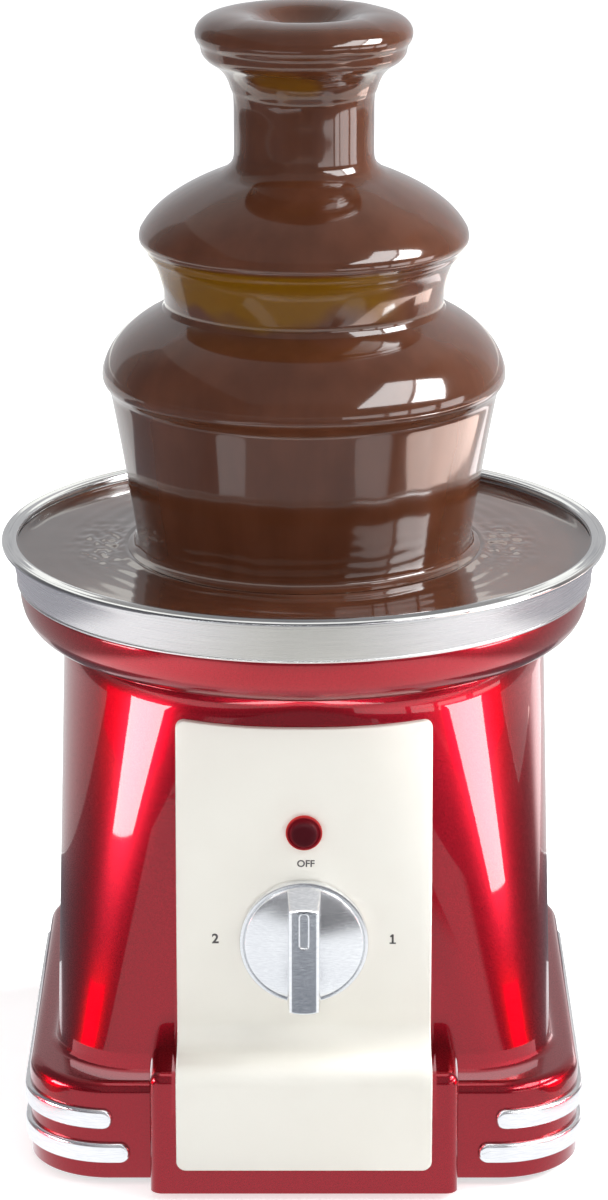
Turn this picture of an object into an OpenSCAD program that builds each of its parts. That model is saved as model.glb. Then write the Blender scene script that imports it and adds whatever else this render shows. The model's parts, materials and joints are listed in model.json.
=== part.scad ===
// Table-top chocolate fountain: a heated steel bowl on a moulded housing, and a tower whose screw
// lifts melted chocolate to a crown, from where it falls over two tiers back into the bowl.
// Millimetres, +Z up, front towards -Y, origin on the table under the axis of the bowl.

/* [Feet and base] */
// Height of the rubber feet under the base
foot_h = 2.5; // [2.2:0.1:5]
// Diameter of a foot
foot_d = 18; // [14:1:22]
// Height of the base from its lower edge to its ledge
base_h = 34.5; // [31:0.5:40]
// Corner radius of the base, seen from above
base_corner = 28; // [24:1:34]
// Width of the ledge at the sides of the body
ledge_side = 9; // [8.5:0.5:14]
// Width of the ledge in front of and behind the body
ledge_front = 12; // [9:0.5:16]
// Rounding of the ledge's outer edge
ledge_round = 4; // [2:0.5:4.5]
// Wall of the moulded housing
wall = 2.6; // [2:0.2:3.4]
// Thickness of the bottom cover
cover_t = 2.5; // [2:0.1:4]

/* [Tongue] */
// Width of the tongue under the control panel
tongue_w = 103; // [96:1:110]
// Distance that the tongue stands out in front of the base
tongue_reach = 11.8; // [8:0.2:15]
// Height of the tongue from the base's lower edge
tongue_h = 43; // [41:0.5:48]
// Rounding of the tongue's edges
tongue_round = 4; // [2:0.5:5]

/* [Body] */
// Width of the body at its foot
body_w = 169; // [160:1:178]
// Depth of the body at its foot
body_d = 163; // [156:1:172]
// Corner radius of the body at its foot
body_corner = 30; // [24:1:40]
// Diameter of the body at its round top
body_top_d = 166; // [160:1:172]
// Height of the body above the ledge
body_h = 132.5; // [124:0.5:145]
// Concave fillet between the ledge and the body
foot_fillet = 3; // [1:0.5:3.5]

/* [Collar and bowl] */
// Height of the collar under the bowl
collar_h = 17.5; // [15:0.5:22]
// Diameter of the collar's upper edge
collar_d = 196; // [190:1:202]
// Wall of the collar
collar_wall = 2.4; // [1.8:0.2:3]
// Diameter of the bowl over its rolled rim
rim_d = 208; // [205:1:218]
// Width of the flattened rim roll
rim_w = 5.6; // [4:0.2:7]
// Height of the rim roll
rim_h = 2.8; // [2:0.2:3.6]
// Height of the bright band between the collar and the rim
band_h = 13; // [10:0.5:18]
// Sheet thickness of the bowl
sheet = 1; // [0.8:0.1:1.4]
// Depth of the bowl from its rim to its floor
bowl_depth = 42.8; // [39:0.2:46]
// Height of the neck round the shaft above the bowl's floor
neck_h = 12; // [9:0.5:15]
// Chocolate level below the top of the rim
pool_drop = 4.3; // [4:0.1:7]

/* [Control panel] */
// Width of the panel
panel_w = 85.2; // [76:0.2:90]
// Thickness of the panel
panel_t = 2; // [1.4:0.1:2.6]
// Corner radius of the panel
panel_corner = 3.2; // [2:0.2:6]
// Height of the panel's upper edge above the base's lower edge
panel_top = 157.5; // [148:0.5:160]
// Height of the panel's lower edge above the base's lower edge
panel_foot = 9.3; // [6:0.1:16]
// Radius of the sweep from the body onto the tongue
panel_sweep = 9; // [5:0.5:14]
// Height of the knob's axis above the base's lower edge
knob_h = 83; // [78:0.5:92]
// Diameter of the knob
knob_d = 43; // [36:0.5:46]
// Height of the knob's disc in front of the panel
knob_disc_t = 7; // [6:0.5:9]
// Height of the knob's bar grip in front of the panel
knob_bar_h = 15; // [12:0.5:18]
// Width of the bar grip at its front face
knob_bar_w = 9; // [7:0.2:11]
// Diameter of the switch spindle
spindle_d = 6; // [5:0.1:6.4]
// Height of the pilot lamp above the base's lower edge
lamp_h = 121.3; // [118:0.5:132]
// Diameter of the pilot lens
lamp_d = 12.1; // [10:0.1:14]

/* [Trim strips] */
// Height of a strip
strip_w = 7.2; // [5:0.2:8]
// Distance that a strip stands proud of the base
strip_t = 1.8; // [1.2:0.1:2.4]
// Height of the upper strips' middle above the base's lower edge
strip_upper_h = 22; // [20:0.5:25]
// Height of the lower strips' middle above the base's lower edge
strip_lower_h = 9.7; // [7:0.1:11]
// Length of the upper strips on the front, measured from the corner
strip_upper_run = 1.2; // [0.5:0.1:3]
// Length of the lower strips on the front, measured from the corner
strip_lower_run = 7; // [5:0.1:10.4]
// Bare length at the rear end of each strip
strip_rear = 23.5; // [20:0.5:34]

/* [Heater] */
// Diameter of the heating tube
heater_tube_d = 6.4; // [5:0.2:8]
// Diameter of the heating ring at the middle of the tube
heater_ring_d = 90; // [84:1:94]
// Thickness of the clamp under the heating ring
clamp_t = 1.5; // [1:0.1:2.5]

/* [Drive] */
// Diameter of the drive shaft
shaft_d = 8; // [6:0.5:9]
// Tooth module of the gears
gear_module = 1; // [0.9:0.05:1.1]
// Teeth of the output gear
gear_teeth = 56; // [48:1:60]
// Teeth of the motor pinion
pinion_teeth = 14; // [13:1:16]
// Face width of the gears
gear_t = 10; // [8:0.5:12]
// Thickness of the motor plate
plate_t = 3; // [2:0.2:4]
// Diameter of the motor plate
plate_d = 136; // [132:1:144]
// Distance from the bowl's floor down to the motor plate
plate_drop = 40; // [37:0.5:44]
// Diameter of the motor can
motor_d = 48; // [42:1:54]
// Length of the motor can
motor_l = 52; // [44:1:60]
// Diameter of the pillars that carry the motor plate
pillar_d = 8; // [7:0.5:10]

/* [Tower] */
// Outer diameter of the tower tube at its neck
tube_d = 42; // [40:0.5:45]
// Wall of the tube at its neck
tube_wall = 2; // [1.6:0.1:2.6]
// Height of the crown's rim above the bowl's floor
tower_h = 217; // [208:1:228]
// Height of the lower tier's edge above the bowl's floor
lower_tier_h = 100.6; // [94:0.2:104]
// Height of the upper tier's edge above the bowl's floor
upper_tier_h = 147.8; // [144:0.2:154]
// Diameter of the lower tier
lower_tier_d = 132; // [126:1:140]
// Diameter of the upper tier
upper_tier_d = 106.4; // [100:0.2:112]
// Rise of the lower tier from its edge to its hub
lower_rise = 26; // [23:0.5:29]
// Rise of the upper tier from its edge to its hub
upper_rise = 20; // [16:0.5:24]
// Plate thickness of the tiers
tier_t = 1.8; // [1.4:0.1:2.4]
// Diameter of the crown's rim
crown_d = 67.6; // [62:0.2:74]
// Height of the crown from its seat to its rim
crown_h = 20; // [18:0.5:22]
// Diameter of the auger's core
auger_core_d = 15; // [13:0.5:18]
// Axial rise of the auger's flight in one turn
auger_pitch = 36; // [28:1:44]
// Running gap between the auger's flight and the tube
auger_gap = 0.6; // [0.4:0.1:1.2]

/* [Chocolate] */
// Thickness of the chocolate over the tower
coat = 2.6; // [1.8:0.1:3.4]
// Thickness of the falling curtains
curtain_t = 2.4; // [1.6:0.1:3]
// Inward draw of the upper curtain from edge to foot
upper_draw = 8.5; // [6:0.5:11]
// Inward draw of the lower curtain from edge to foot
lower_draw = 11.2; // [8:0.2:14]
// Height of the wave of chocolate over the crown's rim
crest_h = 5.5; // [4:0.5:8]
// Depth of the hollow in the middle of the wave
dimple = 6; // [3:0.5:7]

/* [Fits] */
// Gap between pieces that rest on each other or move past each other
gap = 0.3; // [0.2:0.05:0.4]
// Radial clearance of a running fit
run = 0.05; // [0.03:0.01:0.09]
// Skin gap between the chocolate and what it covers
skin = 0.1; // [0.05:0.05:0.2]

/* [Hidden] */
$fn = 64;

// Colours of the moulded, metal and chocolate pieces
red = [0.66, 0.05, 0.09];
cream = [0.94, 0.93, 0.90];
steel = [0.78, 0.78, 0.79];
chrome = [0.86, 0.87, 0.88];
dark = [0.16, 0.16, 0.17];
chocolate = [0.33, 0.17, 0.10];
brass = [0.78, 0.64, 0.34];

// Heights of the main seats, from the table up
base_z = foot_h;
ledge_z = base_z + base_h;
body_top_z = ledge_z + body_h;
collar_top_z = body_top_z + collar_h;
rim_z = collar_top_z + band_h;
rim_top_z = rim_z + rim_h;
pool_z = rim_top_z - pool_drop;
floor_z = rim_top_z - bowl_depth;
floor_under_z = floor_z - sheet;
neck_top_z = floor_z + neck_h;

// Half sizes of the housing in plan
base_hx = body_w/2 + ledge_side;
base_hy = body_d/2 + ledge_front;
body_top_r = body_top_d/2;
top_flat = 0.5;
tongue_front = base_hy + tongue_reach;
tongue_top_z = base_z + tongue_h;
corner_steps = 10;

// Straight-line and curve helpers for profiles
function mix(a, b, t) = a + (b - a)*t;
function bez(a, b, c, n = 8) = [for (i = [0:n])
    let (t = i/n) a*(1 - t)*(1 - t) + b*2*t*(1 - t) + c*t*t];
function reversed(p) = [for (i = [len(p) - 1:-1:0]) p[i]];
function part_of(p, first, last) = [for (i = [first:last]) p[i]];
function side_normal(p, i) = let (d = p[i + 1] - p[i]) [-d[1], d[0]]/norm(d);
function shifted(p, d) = [for (i = [0:len(p) - 1])
    let (a = side_normal(p, max(i - 1, 0)), b = side_normal(p, min(i, len(p) - 2)))
        p[i] + d*(a + b)/(1 + a*b)];
function sheet_outline(p, t) = concat(p, reversed(shifted(p, t)));
function half_round_r(chord, rise) = (chord*chord/4 + rise*rise)/(2*rise);

// Rounded rectangle in plan, counter-clockwise, at one height
function plan_ring(hx, hy, rc, z) = [for (q = [0:3])
    let (sx = (q == 0 || q == 3) ? 1 : -1, sy = q < 2 ? 1 : -1)
        for (i = [0:corner_steps]) let (a = 90*q + 90*i/corner_steps)
            [sx*(hx - rc) + rc*cos(a), sy*(hy - rc) + rc*sin(a), z]];

// Body section at a height: half width, half depth and corner radius, set in by a distance
function body_share(z) = (z - ledge_z)/body_h;
function body_hx(z) = mix(body_w/2, body_top_r, body_share(z));
function body_hy(z) = mix(body_d/2, body_top_r, body_share(z));
function body_rc(z) = mix(body_corner, body_top_r - top_flat, body_share(z));
function body_ring(z, inset) = plan_ring(body_hx(z) - inset, body_hy(z) - inset, body_rc(z) - inset, z);

// Front of the body at one place, stood off by a distance
function front_y(x, z, off) =
    let (flat = body_hx(z) - body_rc(z), r = body_rc(z) + off, u = max(abs(x) - flat, 0))
        -(body_hy(z) - body_rc(z)) - sqrt(r*r - u*u);

// Solid skinned over rings of points: either closed on itself or with a flat face at each end,
// which is laid across from the ring's first half to its second half
module skin_over(rings, closed) {
    m = len(rings[0]);
    k = len(rings);
    sides = [for (i = [0:k - (closed ? 1 : 2)], j = [0:m - 1])
        let (a = i*m + j, b = i*m + (j + 1)%m, c = ((i + 1)%k)*m + (j + 1)%m, d = ((i + 1)%k)*m + j)
            each [[a, c, b], [a, d, c]]];
    last = (k - 1)*m;
    ends = closed ? [] : [for (j = [0:m/2 - 2])
        each [[j, j + 1, m - 2 - j, m - 1 - j], last*[1, 1, 1, 1] + [m - 1 - j, m - 2 - j, j + 1, j]]];
    polyhedron(points = [for (r = rings) each r], faces = concat(sides, ends));
}

// Cylinder along Y from one depth to another
module along_y(x, z, r, from, to) {
    translate([x, from, z]) rotate([-90, 0, 0]) cylinder(r = r, h = to - from);
}

module round_about(count, radius, start = 0) {
    for (i = [0:count - 1]) rotate(start + 360*i/count) translate([radius, 0, 0]) children();
}

// Screw bosses and feet share the corners of the base
boss_x = base_hx - base_corner + 5;
boss_y = base_hy - base_corner + 5;
boss_r = 5;
screw_r = 1.5;
screw_head_r = 2.9;
screw_head_h = 1.9;
screw_len = 11;

module at_corners() {
    for (sx = [-1, 1], sy = [-1, 1]) translate([sx*boss_x, sy*boss_y, 0]) children();
}

// Panel hardware: switch bush, lamp barrel and their holes
knob_z = base_z + knob_h;
lamp_z = base_z + lamp_h;
panel_off = gap + panel_t;
switch_bush_r = spindle_d/2 + 1.7;
hole_play = 0.2;
// The panel leans, so what is seated square to it starts this far in front
seat_play = 0.15;
lamp_barrel_r = lamp_d/2 - 1.3;
knob_face_y = front_y(0, knob_z, panel_off);
lamp_face_y = front_y(0, lamp_z, panel_off);
gland_z = base_z + base_h/2;
gland_neck_r = 5;
gland_bore_r = 3.3;

module panel_holes() {
    through = panel_off + 3*wall;
    along_y(0, knob_z, switch_bush_r + hole_play, knob_face_y - 1, knob_face_y + through);
    along_y(0, lamp_z, lamp_barrel_r + hole_play, lamp_face_y - 1, lamp_face_y + through);
}

// Tongue block, set in by a distance on its open sides: arched sections from the front to the back
function arch(half, top, r, y, floor_at) = let (steps = 4) concat(
    [[-half, y, floor_at]],
    [for (i = [0:steps]) let (a = 180 - 90*i/steps) [-half + r + r*cos(a), y, top - r + r*sin(a)]],
    [for (i = [0:steps]) let (a = 90 - 90*i/steps) [half - r + r*cos(a), y, top - r + r*sin(a)]],
    [[half, y, floor_at]]);

module tongue_block(inset, floor_at) {
    r = tongue_round - inset/2;
    half = tongue_w/2 - inset;
    top = tongue_top_z - inset;
    nose = [for (a = [90:-22.5:0]) let (e = r*(1 - cos(a)))
        arch(half - e, top - e, max(r - e, 0.4), -tongue_front + inset + r*(1 - sin(a)), floor_at)];
    back = -body_d/2 + wall/2;
    skin_over(concat(nose, [arch(half, top, r, back, floor_at)]), false);
}

module housing_shell() {
    foot = foot_fillet;
    edge = [for (a = [0:22.5:90]) let (o = ledge_round*(1 - cos(a)))
        plan_ring(base_hx - o, base_hy - o, base_corner - o, ledge_z - ledge_round*(1 - sin(a)))];
    fillet = [for (a = [0:22.5:67.5]) let (o = foot*(1 - sin(a)))
        plan_ring(body_w/2 + o, body_d/2 + o, body_corner + o, ledge_z + foot*(1 - cos(a)))];
    levels = [for (i = [0:4]) mix(ledge_z + foot, body_top_z, i/4)];
    outside = concat([plan_ring(base_hx, base_hy, base_corner, base_z)], edge, fillet,
        [for (z = levels) body_ring(z, 0)]);
    under = ledge_z - wall;
    inside = concat([for (z = reversed(levels)) body_ring(z, wall)],
        [plan_ring(body_w/2 - wall, body_d/2 - wall, body_corner - wall, under),
         plan_ring(base_hx - wall, base_hy - wall, base_corner - wall, under),
         plan_ring(base_hx - wall, base_hy - wall, base_corner - wall, base_z)]);
    skin_over(concat(outside, inside), true);
}

module housing() {
    boss_z = base_z + cover_t;
    color(red) difference() {
        union() {
            housing_shell();
            difference() {
                tongue_block(0, base_z);
                tongue_block(wall, base_z - 1);
                translate([-tongue_w/2, -base_hy + wall/2, base_z - 1])
                    cube([tongue_w, base_hy, base_h - wall/2 + 1]);
            }
            at_corners() translate([0, 0, boss_z]) cylinder(r = boss_r, h = ledge_z - wall/2 - boss_z);
        }
        at_corners() translate([0, 0, boss_z - 1]) cylinder(r = screw_r + run, h = screw_len);
        panel_holes();
        along_y(0, gland_z, gland_neck_r + run, base_hy - 2*wall, base_hy + 1);
    }
}

// Collar: quarter-round flare with a flange and a spigot that drops into the body
collar_r = collar_d/2;
spigot_r = body_top_r - wall - gap;
spigot_wall = 1.8;
spigot_in = spigot_r - spigot_wall;
spigot_h = 5;
flange_t = 1.5;
collar_lip = 0.8;
collar_foot_r = body_top_r + 1;
collar_path = concat([[collar_foot_r, body_top_z]],
    bez([collar_foot_r, body_top_z + collar_lip], [collar_r, mix(body_top_z, collar_top_z, 0.05)],
        [collar_r, collar_top_z - 1], 10),
    [[collar_r, collar_top_z]]);

module bowl_collar() {
    color(red) rotate_extrude() union() {
        polygon(sheet_outline(collar_path, collar_wall));
        translate([spigot_in, body_top_z]) square([collar_foot_r - spigot_in - 0.2, flange_t]);
        translate([spigot_in, body_top_z - spigot_h]) square([spigot_r - spigot_in, spigot_h + flange_t/2]);
    }
}

// Bowl: neck, floor, sloping wall that clears the spigot, shoulder on the collar, band and rim roll
bush_r = shaft_d/2 + 3;
neck_r = bush_r + run;
floor_set_in = 16;
floor_r = spigot_in - floor_set_in;
bowl_turn = 11;
band_foot_r = collar_r + 0.5;
rim_mid_r = rim_d/2 - rim_w/2;
bowl_path = concat([[neck_r, neck_top_z], [neck_r, floor_under_z]],
    bez([floor_r, floor_under_z], [spigot_in - bowl_turn, body_top_z - 4],
        [collar_r - collar_wall - gap, collar_top_z], 10),
    [[band_foot_r, collar_top_z], [rim_mid_r, rim_z + rim_h/2]]);

module bowl() {
    color(steel) rotate_extrude() union() {
        polygon(sheet_outline(bowl_path, sheet));
        translate([rim_mid_r - rim_w/2 + rim_h/2, rim_z]) square([rim_w - rim_h, rim_h]);
        for (s = [-1, 1]) translate([rim_mid_r + s*(rim_w - rim_h)/2, rim_z + rim_h/2])
            circle(r = rim_h/2);
    }
}

// Control panel: follows the body, sweeps onto the tongue and bends down its front
panel_half = panel_w/2;
panel_top_z = base_z + panel_top;
panel_foot_z = base_z + panel_foot;
panel_columns = 12;

// One cross-section of the panel: front edge from left to right, then back edge from right to left
function panel_row(half, front, back) = concat(
    [for (i = [0:panel_columns]) front(mix(-half, half, i/panel_columns))],
    [for (i = [panel_columns:-1:0]) back(mix(-half, half, i/panel_columns))]);
function body_row(z, half) = panel_row(half,
    function(x) [x, front_y(x, z, panel_off), z], function(x) [x, front_y(x, z, gap), z]);
function bend_row(centre, a, r_front, r_back, half) = panel_row(half,
    function(x) [x, centre[0] + r_front*cos(a), centre[1] + r_front*sin(a)],
    function(x) [x, centre[0] + r_back*cos(a), centre[1] + r_back*sin(a)]);
function corner_half(a) = panel_half - panel_corner*(1 - cos(a));

module front_panel() {
    deck_z = tongue_top_z + panel_off;
    face_y = -tongue_front - panel_off;
    sweep_z = deck_z + panel_sweep;
    sweep = [front_y(0, sweep_z, panel_off) - panel_sweep, sweep_z];
    bend_r = tongue_round + panel_off;
    bend = [face_y + bend_r, deck_z - bend_r];
    rows = concat(
        [for (a = [90:-18:0]) body_row(panel_top_z - panel_corner*(1 - sin(a)), corner_half(a))],
        [for (i = [1:4]) body_row(mix(panel_top_z - panel_corner, sweep_z, i/5), panel_half)],
        [for (a = [0:-15:-90]) bend_row(sweep, a, panel_sweep, panel_sweep + panel_t, panel_half)],
        [for (a = [90:15:180]) bend_row(bend, a, bend_r, bend_r - panel_t, panel_half)],
        [for (a = [0:18:90]) let (z = panel_foot_z + panel_corner*(1 - sin(a)), half = corner_half(a))
            panel_row(half, function(x) [x, face_y, z], function(x) [x, face_y + panel_t, z])]);
    color(cream) difference() {
        skin_over(reversed(rows), false);
        panel_holes();
    }
}

// Half-round trim strip on one side: along the side, round the front corner, short run on the front
strip_r = half_round_r(strip_w, strip_t);

module strip_section() {
    intersection() {
        translate([strip_t - strip_r, 0]) circle(r = strip_r);
        translate([0, -strip_w]) square([strip_t + 1, 2*strip_w]);
    }
}

// Cutter that rounds an end pointing to +X, with its tip at the origin
module end_cutter() {
    end_r = strip_w/2 + 0.2;
    rotate([90, 0, 0]) linear_extrude(4*strip_t, center = true) translate([-end_r, 0]) difference() {
        translate([0, -strip_w]) square([2*strip_w, 2*strip_w]);
        circle(r = end_r);
    }
}

module trim_strip(side, height, front_run) {
    corner_x = base_hx - base_corner;
    corner_y = base_hy - base_corner;
    rear = base_hy - strip_rear;
    spare = 1;
    color(chrome) translate([0, 0, base_z + height]) mirror([side < 0 ? 1 : 0, 0, 0]) difference() {
        union() {
            translate([base_hx, rear + spare, 0]) rotate([90, 0, 0])
                linear_extrude(rear + spare + corner_y) strip_section();
            translate([corner_x, -corner_y, 0]) rotate(-90) rotate_extrude(angle = 90)
                translate([base_corner, 0]) strip_section();
            translate([corner_x, -base_hy, 0]) rotate(-90) rotate([90, 0, 0])
                linear_extrude(front_run + spare) strip_section();
        }
        translate([base_hx, rear, 0]) rotate(90) end_cutter();
        translate([corner_x - front_run, -base_hy, 0]) rotate(180) end_cutter();
    }
}

module trim_upper_left() { trim_strip(-1, strip_upper_h, strip_upper_run); }
module trim_upper_right() { trim_strip(1, strip_upper_h, strip_upper_run); }
module trim_lower_left() { trim_strip(-1, strip_lower_h, strip_lower_run); }
module trim_lower_right() { trim_strip(1, strip_lower_h, strip_lower_run); }

// Knob: dished disc with a bar grip, drawn with its axis up and then laid over towards the front
knob_r = knob_d/2;
knob_lift = 0.5;
nut_t = 2;
nut_reach = 2.6;
knob_recess_r = switch_bush_r + 5;
knob_recess_h = nut_t + 2.5;
hub_r = spindle_d/2 + 2.5;
spindle_out = knob_bar_h - 3;

module on_knob_axis() {
    translate([0, knob_face_y, knob_z]) rotate([90, 0, 0]) children();
}

module knob_disc() {
    rim_t = knob_disc_t*0.55;
    bevel = 0.6;
    step_r = knob_r - 1.4;
    crown_r = knob_r*0.55;
    rotate_extrude() polygon([[0, knob_lift], [knob_r, knob_lift], [knob_r, rim_t],
        [knob_r - bevel, rim_t + bevel], [step_r, rim_t + bevel], [step_r, rim_t + 2*bevel],
        [crown_r, knob_disc_t], [0, knob_disc_t]]);
}

module knob_bar() {
    draft = 1.4;
    pointer_slope = 5;
    end_slope = 1.6;
    bevel = 1.2;
    front_half = knob_bar_w/2;
    foot_half = front_half + draft;
    past = knob_r + 1;
    intersection() {
        translate([0, knob_r + 1, 0]) rotate([90, 0, 0]) linear_extrude(knob_d + 2)
            polygon([[-foot_half, knob_lift], [foot_half, knob_lift], [front_half, knob_bar_h - bevel],
                [front_half - bevel, knob_bar_h], [bevel - front_half, knob_bar_h],
                [-front_half, knob_bar_h - bevel]]);
        cylinder(r = knob_r - run, h = knob_bar_h + 1);
        rotate([90, 0, 90]) linear_extrude(knob_d, center = true) polygon([[-past, 0], [past, 0],
            [past, knob_disc_t - 1], [knob_r - pointer_slope, knob_bar_h],
            [end_slope - knob_r, knob_bar_h], [-past, knob_disc_t]]);
    }
}

module knob_groove() {
    groove_r = 1.2;
    depth = 0.8;
    start = knob_r*0.2;
    translate([0, start, knob_bar_h - depth]) cylinder(r = groove_r, h = 2*depth);
    translate([-groove_r, start, knob_bar_h - depth]) cube([2*groove_r, knob_r, 2*depth]);
}

module control_knob() {
    color(chrome) on_knob_axis() difference() {
        union() {
            knob_disc();
            knob_bar();
        }
        difference() {
            translate([0, 0, -1]) cylinder(r = knob_recess_r, h = knob_recess_h + 1);
            translate([0, 0, nut_t + 1.2]) cylinder(r = hub_r, h = knob_recess_h);
        }
        translate([0, 0, -1]) cylinder(r = spindle_d/2 + run, h = spindle_out + 1);
        knob_groove();
    }
}

// Switch behind the panel: block, threaded bush through the wall, terminals at the back
switch_seat = -(panel_off + wall + gap);
switch_l = 16;
switch_half_x = 11;
switch_half_z = 12;
bush_out = nut_t + 0.6;

module knob_spindle() {
    color(steel) on_knob_axis() translate([0, 0, switch_seat - switch_l/2])
        cylinder(r = spindle_d/2, h = spindle_out - gap - switch_seat + switch_l/2);
}

module rotary_switch() {
    tab_w = 3;
    tab_t = 0.8;
    tab_l = 7;
    color(dark) on_knob_axis() difference() {
        union() {
            translate([-switch_half_x, -switch_half_z, switch_seat - switch_l])
                cube([2*switch_half_x, 2*switch_half_z, switch_l]);
            translate([0, 0, switch_seat - 1]) cylinder(r = switch_bush_r, h = bush_out - switch_seat + 1);
            for (x = [-0.6, 0.6], y = [-0.6, 0.6])
                translate([x*switch_half_x - tab_w/2, y*switch_half_z, switch_seat - switch_l - tab_l])
                    cube([tab_w, tab_t, tab_l + 1]);
        }
        translate([0, 0, switch_seat - switch_l/2 - gap])
            cylinder(r = spindle_d/2 + run, h = 2*switch_l + bush_out);
    }
}

module switch_nut() {
    color(steel) on_knob_axis() difference() {
        translate([0, 0, seat_play]) cylinder(r = switch_bush_r + nut_reach, h = nut_t, $fn = 6);
        translate([0, 0, -1]) cylinder(r = switch_bush_r + run, h = nut_t + 2);
    }
}

// Pilot lamp: lens clipped from the front, holder behind the wall
lamp_flange_t = 1.2;
lamp_dome_h = 2.2;
lamp_back = panel_off + wall + gap;
lamp_holder_l = 10;

module on_lamp_axis() {
    translate([0, lamp_face_y, lamp_z]) rotate([90, 0, 0]) children();
}

module lamp_lens() {
    lens_r = lamp_d/2;
    dome = bez([lens_r, lamp_flange_t], [lens_r*0.85, lamp_flange_t + lamp_dome_h],
        [0, lamp_flange_t + lamp_dome_h], 6);
    color([0.55, 0.02, 0.05]) on_lamp_axis() rotate_extrude() polygon(concat(
        [[0, -lamp_back], [lamp_barrel_r, -lamp_back], [lamp_barrel_r, seat_play], [lens_r, seat_play]],
        dome));
}

module lamp_holder() {
    lead_r = 0.6;
    lead_l = 4;
    holder_wall = 1.5;
    end = -lamp_back - lamp_holder_l;
    color(dark) on_lamp_axis() union() {
        translate([0, 0, end]) cylinder(r = lamp_barrel_r + holder_wall, h = lamp_holder_l);
        for (x = [-0.5, 0.5]) translate([x*lamp_barrel_r, 0, end - lead_l])
            cylinder(r = lead_r, h = lead_l + 1);
    }
}

// Bearings and seal of the drive shaft
shaft_r = shaft_d/2;
bush_flange_t = 1.5;
bush_flange_r = bush_r + 3;
seal_h = 5;

module upper_bush() {
    foot_z = floor_under_z - bush_flange_t;
    h = neck_top_z - seal_h - foot_z;
    color(brass) translate([0, 0, foot_z]) difference() {
        union() {
            cylinder(r = bush_flange_r, h = bush_flange_t);
            cylinder(r = bush_r, h = h);
        }
        translate([0, 0, -1]) cylinder(r = shaft_r + run, h = h + 2);
    }
}

module shaft_seal() {
    lip = 1;
    touch = shaft_r + run;
    color(dark) translate([0, 0, neck_top_z - seal_h]) rotate_extrude() polygon([
        [shaft_r + lip, 0], [bush_r, 0], [bush_r, seal_h], [neck_r + sheet, seal_h],
        [neck_r + sheet, seal_h + lip], [touch, seal_h + lip], [touch, seal_h - lip],
        [shaft_r + lip, seal_h - 2*lip]]);
}

// Heating under the bowl's floor
heater_r = heater_ring_d/2;
heater_tube_r = heater_tube_d/2;
heater_mid_z = floor_under_z - heater_tube_r;
heater_open = 30;
terminal_r = heater_tube_r*0.5;
terminal_turn = 5;
clamp_top_z = floor_under_z - heater_tube_d;
clamp_z = clamp_top_z - clamp_t;
clamp_half = 9;
pillar_r = pillar_d/2;
pillar_ring_r = heater_r + clamp_half + pillar_r + 1;
pillar_start = 30;

module at_pillars() {
    round_about(3, pillar_ring_r, pillar_start) children();
}

module at_terminals() {
    for (s = [-1, 1]) rotate(90 + s*(heater_open/2 + terminal_turn)) translate([heater_r, 0, 0]) children();
}

module heater_ring() {
    terminal_l = 12;
    color(steel) union() {
        translate([0, 0, heater_mid_z]) rotate(90 + heater_open/2) rotate_extrude(angle = 360 - heater_open)
            translate([heater_r, 0]) circle(r = heater_tube_r);
        at_terminals() translate([0, 0, heater_mid_z - terminal_l]) cylinder(r = terminal_r, h = terminal_l);
    }
}

module heater_clamp() {
    ear = 3;
    color(steel) translate([0, 0, clamp_z]) difference() {
        union() {
            cylinder(r = heater_r + clamp_half, h = clamp_t);
            at_pillars() cylinder(r = pillar_r + ear, h = clamp_t);
        }
        translate([0, 0, -1]) cylinder(r = heater_r - clamp_half, h = clamp_t + 2);
        translate([0, 0, -1]) at_pillars() cylinder(r = pillar_r + run, h = clamp_t + 2);
        translate([0, 0, -1]) at_terminals() cylinder(r = terminal_r + 1, h = clamp_t + 2);
    }
}

module thermostat() {
    can_r = 7.5;
    can_h = 5;
    color(dark) translate([heater_r, 0, clamp_z - can_h]) union() {
        cylinder(r = can_r, h = can_h);
        translate([0, 0, -1]) cylinder(r = can_r*0.7, h = 1.5);
        for (s = [-1, 1]) translate([-0.4, s*can_r*0.9 - 2, -1]) cube([0.8, 4, 2]);
    }
}

module thermal_fuse() {
    fuse_r = 2;
    fuse_l = 11;
    color(cream) translate([-heater_r, 0, clamp_z - fuse_r]) rotate([90, 0, 0]) union() {
        translate([0, 0, -fuse_l/2]) cylinder(r = fuse_r, h = fuse_l);
        translate([0, 0, -fuse_l]) cylinder(r = 0.5, h = 2*fuse_l);
    }
}

// Motor plate hung under the bowl on three pillars
plate_top_z = floor_under_z - plate_drop;
plate_z = plate_top_z - plate_t;
mesh_play = 0.1;
gear_pitch_r = gear_module*gear_teeth/2;
pinion_pitch_r = gear_module*pinion_teeth/2;
motor_y = gear_pitch_r + pinion_pitch_r + mesh_play;
motor_boss_r = 7.5;

module plate_pillars() {
    color(steel) at_pillars() translate([0, 0, plate_top_z]) difference() {
        cylinder(r = pillar_r, h = floor_under_z - plate_top_z);
        translate([0, 0, -1]) cylinder(r = screw_r + run, h = screw_len + 1);
    }
}

module motor_plate() {
    vent_r = 6;
    vent_ring_r = plate_d/2 - 2*vent_r - 1;
    vent_start = -45;
    through = plate_t + 2;
    color(steel) translate([0, 0, plate_z]) difference() {
        cylinder(r = plate_d/2, h = plate_t);
        translate([0, 0, -1]) cylinder(r = bush_r + run, h = through);
        translate([0, motor_y, -1]) cylinder(r = motor_boss_r + run, h = through);
        translate([0, 0, -1]) at_pillars() cylinder(r = screw_r + hole_play, h = through);
        translate([0, 0, -1]) round_about(2, vent_ring_r, vent_start) cylinder(r = vent_r, h = through);
    }
}

module plate_screws() {
    color(steel) at_pillars() union() {
        translate([0, 0, plate_z - screw_head_h]) cylinder(r = screw_head_r, h = screw_head_h);
        translate([0, 0, plate_z - 0.5]) cylinder(r = screw_r, h = screw_len + plate_t - 1);
    }
}

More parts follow.
